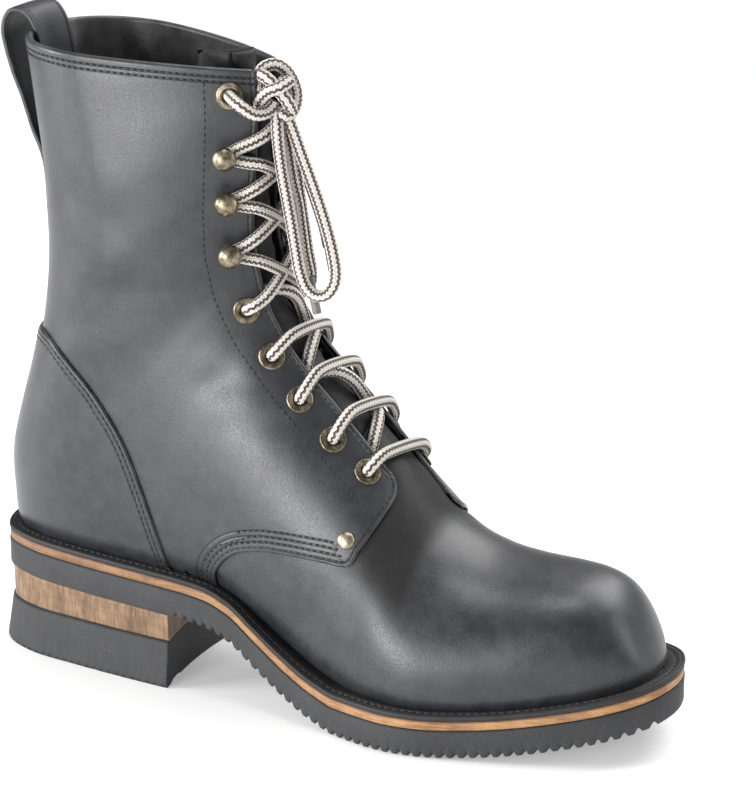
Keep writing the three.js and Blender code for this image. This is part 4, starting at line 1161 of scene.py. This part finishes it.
def ring_sheet(name, profile, around, skin, nodes):
    """A ring round the sole with a closed section of (inset, height function) points."""
    insets = np.array([p[0] for p in profile])

    def shape(u, v):
        k = np.round(v * len(profile)).astype(int) % len(profile)
        x, y = ring_at(u, insets[k])
        z = np.empty(len(u))
        for i, (_, level) in enumerate(profile):
            z[k == i] = level(x[k == i])
        return np.stack([x, y, z], 1), {"inset": insets[k]}

    return sheets(name, [shape], around, len(profile), skin, nodes)


WELT_PROFILE = [(inset, lambda x, base=base, rise=rise: base(x) + rise) for base, inset, rise in (
    (midsole_top, 13.0, 0.15), (midsole_top, 0.6, 0.15), (midsole_top, 0.15, 0.4), (midsole_top, 0.0, 0.9),
    (welt_top, 0.0, -0.7), (welt_top, 0.2, -0.25), (welt_top, 0.7, 0), (welt_top, 1.3, 0.02),
    (welt_top, 1.6, -0.12), (welt_top, 2.0, 0.02), (welt_top, 2.9, 0), (welt_top, WELT_ROW, -0.3),
    (welt_top, 4.3, 0), (welt_top, 6.0, 0), (welt_top, 7.0, -0.2), (welt_top, 9.0, -0.3), (welt_top, 13.0, -0.3))]
ring_sheet("welt_strip", WELT_PROFILE, 620, welt_skin, ["welt"])


def insole_section(x):
    one = 0 * x
    rows = []
    for side in (-1, 1):
        part = [(40.0, side, midsole_top(x) + 0.4, one), (14.5, side, midsole_top(x) + 0.4, one),
                (14.2, side, welt_top(x) + 0.6, one), (15.0, side, welt_top(x) + 1.0, one),
                (40.0, side, welt_top(x) + 1.0, one)]
        rows += part if side < 0 else part[::-1]
    return rows


sole_loft("insole_top", stations_for(14.6, LENGTH - 15.2, 3.0), insole_section, insole_skin,
                   ["insole"])


def heel_piece(name, low, high, inset_low, inset_high, skin, node, layers=8):
    """One block of the heel with its hollow breast; low and high are functions of the place along it."""
    bm = bmesh.new()
    walls = 190
    across = 60
    steps = walls * 2 + across
    levels = [0.0, 0.04, 0.1] + [0.1 + 0.8 * i / layers for i in range(1, layers)] + [0.9, 0.96, 1.0]
    bmesh.ops.create_grid(bm, x_segments=steps, y_segments=len(levels) - 1, size=0.5)
    bm.verts.ensure_lookup_table()
    uv = np.array([p.co[:2] for p in bm.verts]) + 0.5
    i = np.round(uv[:, 0] * steps).astype(int) % steps
    level = np.array(levels)[np.round(uv[:, 1] * (len(levels) - 1)).astype(int)]
    inset = inset_low + (inset_high - inset_low) * level
    inset = inset + 0.7 * (1 - rounded(np.minimum(level, 1 - level) * 14, 0.9))
    points = np.empty((len(i), 3))
    for value in np.unique(np.round(inset, 5)):
        pick = np.abs(inset - value) < 1e-5
        s = np.linspace(0, 1, walls + 1)
        plans = {}
        for side in (-1, 1):
            top_y = side_at(np.array([HEEL_LENGTH]), value, side)[1][0]
            end = HEEL_LENGTH - BREAST * (1 - min(1, abs(top_y) / (0.35 * BALL)) ** 2)
            low_x = side_at(np.array([-50.0]), value, side)[0][0]
            xs = low_x + (end - low_x) * (1 - np.cos(s * np.pi / 2)) ** 0.9
            plans[side] = np.stack(side_at(xs, value, side), 1)
        y = np.linspace(plans[-1][-1, 1], plans[1][-1, 1], across + 1)
        breast = np.stack([HEEL_LENGTH - BREAST * (1 - np.minimum(1, np.abs(y) / (0.35 * BALL)) ** 2), y], 1)
        plan = np.vstack([plans[-1][:-1], breast[:-1], plans[1][::-1][:-1]])
        plan = np.vstack([plan, plan[-1:]])[:steps]
        points[pick, :2] = plan[i[pick]]
    lowest, highest = low(points[:, 0]), high(points[:, 0])
    points[:, 2] = lowest + (highest - lowest) * level
    layer = bm.verts.layers.float.new("height")
    placed = to_frame(points)
    for k, vert in enumerate(bm.verts):
        vert.co = placed[k]
        vert[layer] = level[k]
    bmesh.ops.remove_doubles(bm, verts=bm.verts, dist=2e-6)
    ends = [e for e in bm.edges if e.is_boundary]
    bmesh.ops.holes_fill(bm, edges=ends)
    return finish_piece(name, bm, skin, [node])


def lift_low(x):
    """Ribs under the heel's top lift."""
    phase = ((x - 2.0) / 4.0) % 1.0
    return np.interp(phase, [0, 0.58, 0.68, 0.92, 1], [0, 0, 1.0, 1.0, 0])


heel_piece("lift", lift_low, lambda x: 0 * x + LIFT, -2.4, 0.6, rubber, "heel_lift")
heel_piece("stack", lambda x: 0 * x + LIFT + 0.1, lambda x: tread(x) - 0.05, STACK_INSET, 1.2, stack_skin,
           "heel_stack")


# Hardware: profiles spun round an axis, then set on the leather
def turned(name, profile, spots, skin, names, lift_by, segments=28):
    """Small hardware spun from one profile and set on the leather at each spot."""
    bm = bmesh.new()
    for (v, turn), node in zip(spots, names):
        start = [bm.verts.new((r / 1000, 0, z / 1000)) for r, z in profile]
        edges = [bm.edges.new(pair) for pair in zip(start[:-1], start[1:])]
        made = bmesh.ops.spin(bm, geom=start + edges, cent=(0, 0, 0), axis=(0, 0, 1), steps=segments,
                              angle=2 * math.pi, use_merge=True, use_duplicate=False)
        fresh = [w for w in bm.verts if not w.tag]
        n = Vector(normal(np.array(v), np.array(turn)))
        at = Vector(to_frame(on_form(np.array(v), np.array(turn), np.array(LAYER + lift_by))))
        turn_to = Vector((0, 0, 1)).rotation_difference(n).to_matrix().to_4x4()
        bmesh.ops.transform(bm, matrix=Matrix.Translation(at) @ turn_to, verts=fresh)
        for w in fresh:
            w.tag = True
    bmesh.ops.remove_doubles(bm, verts=bm.verts, dist=1e-6)
    return finish_piece(name, bm, skin, names)


def side_name(side):
    return "lateral" if side < 0 else "medial"


def spots_for(rows, kind):
    spots, names = [], []
    for side in (-1, 1):
        for i, spot in enumerate(rows):
            spots.append(place(spot, side))
            names.append(f"{kind}_{side_name(side)}_{i + 1}")
    return spots, names


eyelet_spots, eyelet_names = spots_for(EYELETS, "eyelet")
EYELET_PROFILE = [(2.95, -2.6), (2.9, -0.1), (3.0, 0.4), (3.25, 0.78), (3.65, 0.98), (4.1, 0.92), (4.5, 0.8),
                  (4.9, 0.82), (5.3, 0.72), (5.55, 0.4), (5.6, 0.1), (5.5, 0.0), (3.5, -0.1), (3.3, -2.6),
                  (2.95, -2.6)]
turned("eyelets", EYELET_PROFILE, eyelet_spots, brass, eyelet_names, 0.05)
hook_spots, hook_names = spots_for(HOOKS, "hook")
ball = [(4.9 * math.sin(a), 7.5 - 3.7 * math.cos(a)) for a in np.linspace(0.36, math.pi, 16)]
HOOK_PROFILE = [(0.001, 0.0), (2.9, 0.0), (3.1, 0.25), (2.9, 0.6), (1.9, 0.9), (1.7, 1.4), (1.7, 4.0), *ball]
turned("hooks", HOOK_PROFILE, hook_spots, brass, hook_names, 0.05)
rivet_spots = [place(RIVET, side) for side in (-1, 1)]
RIVET_PROFILE = [(3.7, -0.2), (3.7, 0.15), (3.5, 0.55), (3.0, 0.95), (2.3, 1.3), (1.3, 1.52), (0.001, 1.6)]
turned("rivets", RIVET_PROFILE, rivet_spots, pale_brass, ["rivet_lateral", "rivet_medial"], 0.1)


# Laces
def strand(name, lines, nodes=(), radius=LACE, sides=16, step=0.55, skin=braid):
    """Round tubes along lines of points, each with a steady frame so the braid doesn't twist."""
    bm = bmesh.new()
    layer = bm.verts.layers.float_vector.new("round")
    paths = []
    for line in lines:
        path = even(spline(line), step)
        paths.append(path)
        ahead = np.gradient(path, axis=0)
        ahead /= np.linalg.norm(ahead, axis=1)[:, None]
        up = np.empty_like(path)
        first = np.cross(ahead[0], (0.0, 1.0, 0.05))
        up[0] = first / np.linalg.norm(first)
        for i in range(1, len(path)):
            w = up[i - 1] - ahead[i] * (up[i - 1] @ ahead[i])
            up[i] = w / np.linalg.norm(w)
        side = np.cross(ahead, up)
        before = len(bm.verts)
        bmesh.ops.create_grid(bm, x_segments=sides, y_segments=len(path) - 1, size=0.5)
        bm.verts.ensure_lookup_table()
        verts = bm.verts[before:]
        uv = np.array([w.co[:2] for w in verts]) + 0.5
        k = np.round(uv[:, 1] * (len(path) - 1)).astype(int)
        angle = 2 * np.pi * uv[:, 0]
        gone = np.concatenate([[0], np.cumsum(np.linalg.norm(np.diff(path, axis=0), axis=1))])
        plump = radius * (1 - 0.012 * np.abs(np.sin(gone[k] * np.pi / 1.9)))
        out = up[k] * np.cos(angle)[:, None] + side[k] * np.sin(angle)[:, None]
        points = to_frame(path[k] + plump[:, None] * out)
        for i, w in enumerate(verts):
            w.co = points[i]
            w[layer] = (math.cos(angle[i]), math.sin(angle[i]), gone[k[i]])
    bmesh.ops.remove_doubles(bm, verts=bm.verts, dist=1e-6)
    ends = [e for e in bm.edges if e.is_boundary]
    bmesh.ops.holes_fill(bm, edges=ends)
    return finish_piece(name, bm, skin, nodes), paths


OVER_LEATHER, CROSSING_SAG = 4.3, 4.5


def over_throat(a, b, end_a, end_b, side, sag=0.0):
    """A strand over both edges of the throat; an end is (edge step, whether it comes from an eyelet)."""
    (va, ta), (vb, tb) = a, b

    def half(start, turn, hand, step, eyelet):
        row = lambda t: start[0] + (start[1] - start[0]) * t
        near = hand * float(turn_at(row(step), throat_half(row(step)) - 0.6))
        first = turn * (1.0 if eyelet else 1.02)
        spots = ((0.0, 1.0, -3.0), (0.0, 0.96, 1.0), (0.14, 0.8, 4.0), (0.5, 0.42, 4.7)) if eyelet else (
            (0.0, 1.0, 3.6), (0.12, 0.86, 4.1), (0.5, 0.45, 4.7))
        line = [on_form(row(step * t), near + (first - near) * share, np.array(lift))
                for t, share, lift in spots]
        line = [*line, on_form(row(step), near, np.array(OVER_LEATHER))]
        drops = (0, 0, 0.2, 0.7, 1)[-len(line):]
        return [p - (0, 0, sag * share) for p, share in zip(line, drops)]

    low = half((va, vb), ta, side, *end_a)
    high = half((vb, va), tb, -side, *end_b)
    return low + high[::-1]


for i, spot in enumerate(EYELETS[2:]):
    bar = over_throat(place(spot, -1), place(spot, 1), (0.4, True), (0.0, True), -1)
    strand(f"bar_{i + 1}", [bar], [f"lace_bar_{i + 1}"])

crossings = []
stops = [EYELETS[1], *HOOKS]
for i in range(3):
    for side in (-1, 1):
        ends = place(stops[i], side), place(stops[i + 1], -side)
        crossings.append(over_throat(*ends, (0.1, i == 0), (0.3, False), side, CROSSING_SAG))
meet = float(locate(0.44 * LENGTH, SEAT + 0.87 * SHAFT, 1)[0])
for side in (-1, 1):
    v, turn = place(HOOKS[2], side)
    half = float(turn_at(meet, throat_half(meet) - 0.6))
    crossings.append([on_form(v, turn, np.array(3.6)), on_form(v, turn * 0.86, np.array(4.1)),
                      on_form((v + meet) / 2, side * half, np.array(OVER_LEATHER + 0.3)),
                      on_form(meet, 0.0, np.array(-2.0))])
strand("crossings", crossings, ["lace_crossings"])

under = []
for i in range(1, 5):
    for side in (-1, 1):
        a, b = place(EYELETS[i + 1], side), place(EYELETS[i], -side)
        if (i + (side > 0)) % 2:
            continue
        rows = np.linspace(a[0], b[0], 6)
        half = throat_half(rows)
        reach = np.linspace(1, -1, 6) * (half + 1.5)
        turns = side * np.sign(reach) * turn_at(rows, np.abs(reach))
        lifts = np.array([-4.6, -1.6, -0.2, -0.2, -1.6, -4.6])
        under.append([on_form(r, t, np.array(f)) for r, t, f in zip(rows, turns, lifts)])
strand("lace_under", under)

# Knot, bow and ends
DEEP = {side: [on_form(*place(EYELETS[0], side), np.array(lift)) for lift in (-3.0, 0.8)] for side in (-1, 1)}
top_row, top_turn = place(EYELETS[0], 1)
OUT_OF_TOP = on_form(top_row, top_turn * 0.86, np.array(5.0))
CORDS = {
    "lace_lead_lateral": [*DEEP[-1], (128.5, -29, 254.5), (133, -26, 251), (136, -21, 251), (138, -17, 254)],
    "lace_lead_medial": [*DEEP[1], OUT_OF_TOP, (128.5, 11, 252), (131, 5, 257), (135, -4, 260)],
    "bow_loop_front": [
        (140, -14, 252), (144, -15, 245), (148, -15, 235), (152, -14.5, 224.5), (156, -14, 213.5),
        (159.5, -14, 203), (162, -14, 193.5), (163, -14, 186), (162.5, -15, 181), (159.5, -16, 177),
        (155.5, -17, 176.5), (152, -18, 179.5), (149.5, -19, 186.5), (148, -19.5, 195.5),
        (146.5, -20, 205.5), (144.5, -20, 216), (142.5, -20, 226), (141, -20, 236), (140, -19.5, 245),
        (139, -17.5, 250.5)],
    "bow_loop_back": [
        (138, -8, 250.5), (140, -8, 239.5), (142, -8, 227.5), (144, -8, 215), (146, -8, 202.5),
        (147.5, -8, 192.5), (148.5, -7, 184.5), (147, -4.5, 178), (143, -2, 176.5), (141, -1, 184.5),
        (140, -1, 194), (139, -1, 204.5), (137, -1, 214.5), (135.5, -1, 227), (134.5, -2, 237.5),
        (135.5, -5, 245.5)],
    "lace_end_front": [
        (137.5, -11, 250), (139.5, -13, 242.5), (141.5, -14, 234), (143.5, -14, 222.5), (146, -14, 212.5),
        (147.5, -14, 202), (149, -14, 192), (151, -14, 183.5)],
    "lace_end_back": [
        (136.5, -5, 249), (135.5, 1, 240), (138, 5, 229), (141, 7, 217), (144.5, 8, 206), (147.5, 8, 197),
        (149, 8, 190)],
}
knot, _ = strand("knot", [[
        (130, -17, 258), (129, -15, 263), (130.5, -12, 267), (134, -9, 268), (137.5, -7, 265.5),
        (141, -7, 261), (143.5, -9, 255.5), (144, -13, 251), (142.5, -17, 249.5), (140.5, -19, 251.5)], [
        (131, -18, 251), (133, -20, 255.5), (137, -21, 259.5), (141.5, -20, 261.5), (143.5, -15, 263.5)], [
        (130.5, -16, 265), (136, -19, 264), (139.5, -18, 260), (143.5, -18, 256), (144, -14, 250.5)]],
                 ["lace_knot"])

for name, line in CORDS.items():
    made, paths = strand(name.replace("lace_", "cord_").replace("bow_", "cord_"), [line], [name])
    path = paths[0]
    if name.startswith("lace_end"):
        tip_node = name.replace("end", "tip")
        out = path[-1] - path[-3]
        out /= np.linalg.norm(out)
        along_tip = [path[-1] + out * s for s in (0.2, 5.0, 11.0, 16.0)]
        tip, _ = strand(tip_node.replace("lace_", ""), [along_tip], [tip_node],
                        radius=1.9, skin=tip_skin)


# Stitches: small thread beads laid along lines
def stitches(name, lines, skin, length=2.0, gap=0.9, wide=0.44, high=0.28):
    places, frames = [], []
    for points, normals in lines:
        packed = even(np.hstack([points, normals]), (length + gap) / 2)
        ahead = packed[2::2, :3] - packed[:-2:2, :3]
        middle = packed[1:-1:2][:len(ahead)]
        ahead = ahead[:len(middle)] / np.linalg.norm(ahead[:len(middle)], axis=1)[:, None]
        side = np.cross(middle[:, 3:], ahead)
        side /= np.linalg.norm(side, axis=1)[:, None]
        places.append(middle[:, :3])
        frames.append(np.stack([ahead * length / 2, side * wide, np.cross(ahead, side) * high], 1))
    places, frames = np.vstack(places), np.vstack(frames)
    bm = bmesh.new()
    bmesh.ops.create_uvsphere(bm, u_segments=6, v_segments=5, radius=1.0,
                              matrix=Matrix.Rotation(math.pi / 2, 4, "Y"))
    size, faces = len(bm.verts), len(bm.faces)
    while len(bm.verts) < size * len(places):
        more = min(len(bm.verts) // size, len(places) - len(bm.verts) // size)
        bm.faces.ensure_lookup_table()
        bmesh.ops.duplicate(bm, geom=bm.faces[:more * faces])
    found = np.array([vert.co[:] for vert in bm.verts])
    which = np.arange(len(found)) // size
    made = to_frame(places[which] + np.einsum("ij,ijk->ik", found, frames[which]))
    for vert, co in zip(bm.verts, made):
        vert.co = co
    return finish_piece(name, bm, skin)


def line_on(v, turn, grow):
    """Points and outward directions of a stitch line."""
    return on_form(v, turn, np.full(np.shape(v), float(grow))), normal(v, turn)


upper_lines = []
for side in (-1, 1):
    v, turn = edge_points(side)
    keep = form(v, turn)[:, 2] > welt_top(form(v, turn)[:, 0]) + 0.5
    v, turn = v[keep], turn[keep]
    for away in QUARTER_ROWS:
        row, at = beside(v, turn, -side * away)
        p = form(row, at)
        clear = np.abs(distance_to(p, FRONT_LINES[side]) - away) < 0.4
        row, at, p = row[clear], at[clear], p[clear]
        keep = (past_rows(p, side) < -1) | (away == QUARTER_ROWS[0])
        upper_lines.append(line_on(row[keep], at[keep], LAYER - 0.02))
    rows = np.linspace(EDGES[side][-1, 0] + 0.15, row_at_height(
        lambda a, s: side * turn_at(a, throat_half(a)), np.array([1.0]), 3.0)[0], 120)
    for away in (FACING_ROW, EYELET_ROW):
        row, at = beside(rows, side * turn_at(rows, throat_half(rows)), -side * away)
        if away == EYELET_ROW:
            ahead = np.arange(22, 0, -1)
            row = np.append(row[0] - ahead * (row[4] - row[0]) / 4, row)
            at = np.append(at[0] - ahead * (at[4] - at[0]) / 4, at)
            inside = distance_to(form(row, at), FRONT_LINES[side]) > 1.7
            cut = len(inside) - np.argmin(inside[::-1]) if not inside.all() else 0
            row, at = row[cut:], at[cut:]
        upper_lines.append(line_on(row, at, LAYER - 0.02))
    shares = np.linspace(0.04, 0.985, 200)
    for drop in COLLAR_ROWS:
        turn_of = lambda a, s: side * (1 - (1 - turn_at(a, throat_half(a))) * s)
        rows = row_at_height(turn_of, shares, drop)
        upper_lines.append(line_on(rows, turn_of(rows, shares), LAYER - 0.02))
    v, turn = COUNTER_LINES[side].T
    p = form(v, turn)
    keep = p[:, 2] > welt_top(p[:, 0]) + 0.5
    for away in COUNTER_ROWS:
        upper_lines.append(line_on(*beside(v[keep], turn[keep], side * away), 2.75))
stitches("upper_stitching", upper_lines, thread)

share = np.linspace(0, 1, 900)
x, y = ring_at(share, WELT_ROW)
welt_line = np.stack([x, y, welt_top(x) - 0.12], 1)
stitches("welt_stitching", [(welt_line, np.tile((0.0, 0.0, 1.0), (900, 1)))], welt_thread,
         length=2.6, gap=0.8, wide=0.5, high=0.4)


# Floor, sky and lights
def floor_build(net):
    tone = net.noise(net.place(), 3.0, 2.0)
    return {"Base Color": net.mix(tone, (0.86, 0.86, 0.86), (0.88, 0.88, 0.88)), "Roughness": 0.7,
            "Specular IOR Level": 0.3, "Emission Color": (1, 1, 1, 1), "Emission Strength": 0.28}


bm = bmesh.new()
bmesh.ops.create_grid(bm, x_segments=1, y_segments=1, size=1.1)
mesh = bpy.data.meshes.new("floor")
bm.to_mesh(mesh)
bm.free()
mesh.materials.append(material("floor paper", floor_build))
floor = bpy.data.objects.new("floor", mesh)
bpy.context.scene.collection.objects.link(floor)

world = bpy.data.worlds.new("studio")
bpy.context.scene.world = world
world.use_nodes = True
sky = Net(world.node_tree)
seen = sky.node("LightPath").outputs["Is Camera Ray"]
background = world.node_tree.nodes["Background"]
background.inputs[0].default_value = (1.0, 1.0, 1.0, 1.0)
world.node_tree.links.new(sky.math("ADD", 0.34, sky.math("MULTIPLY", seen, 0.68)), background.inputs[1])


def area_light(name, place_at, look_at, size_x, size_y, power, colour=(1, 1, 1)):
    data = bpy.data.lights.new(name, "AREA")
    data.shape = "RECTANGLE"
    data.size, data.size_y, data.energy, data.color = size_x, size_y, power, colour
    made = bpy.data.objects.new(name, data)
    bpy.context.scene.collection.objects.link(made)
    made.location = place_at
    made.rotation_mode = "QUATERNION"
    made.rotation_quaternion = (Vector(look_at) - Vector(place_at)).to_track_quat("-Z", "Y")
    return made


area_light("left", (-1.4, -0.8, 0.5), (0, 0, 0.14), 0.7, 0.9, 24)
area_light("low", (-0.35, -1.45, 0.14), (0, 0, 0.06), 0.9, 0.22, 7)
area_light("front", (-0.45, -1.6, 0.4), (0, 0, 0.1), 0.6, 0.6, 14)
area_light("right", (1.6, 0.5, 0.6), (0, 0, 0.1), 0.4, 0.9, 6)
area_light("back", (0.5, 1.15, 1.35), (0, 0, 0.1), 1.5, 1.2, 27)
area_light("above", (-0.1, 0.1, 1.9), (0, 0, 0.1), 0.6, 0.6, 10)

bpy.context.scene.view_settings.view_transform = "Standard"
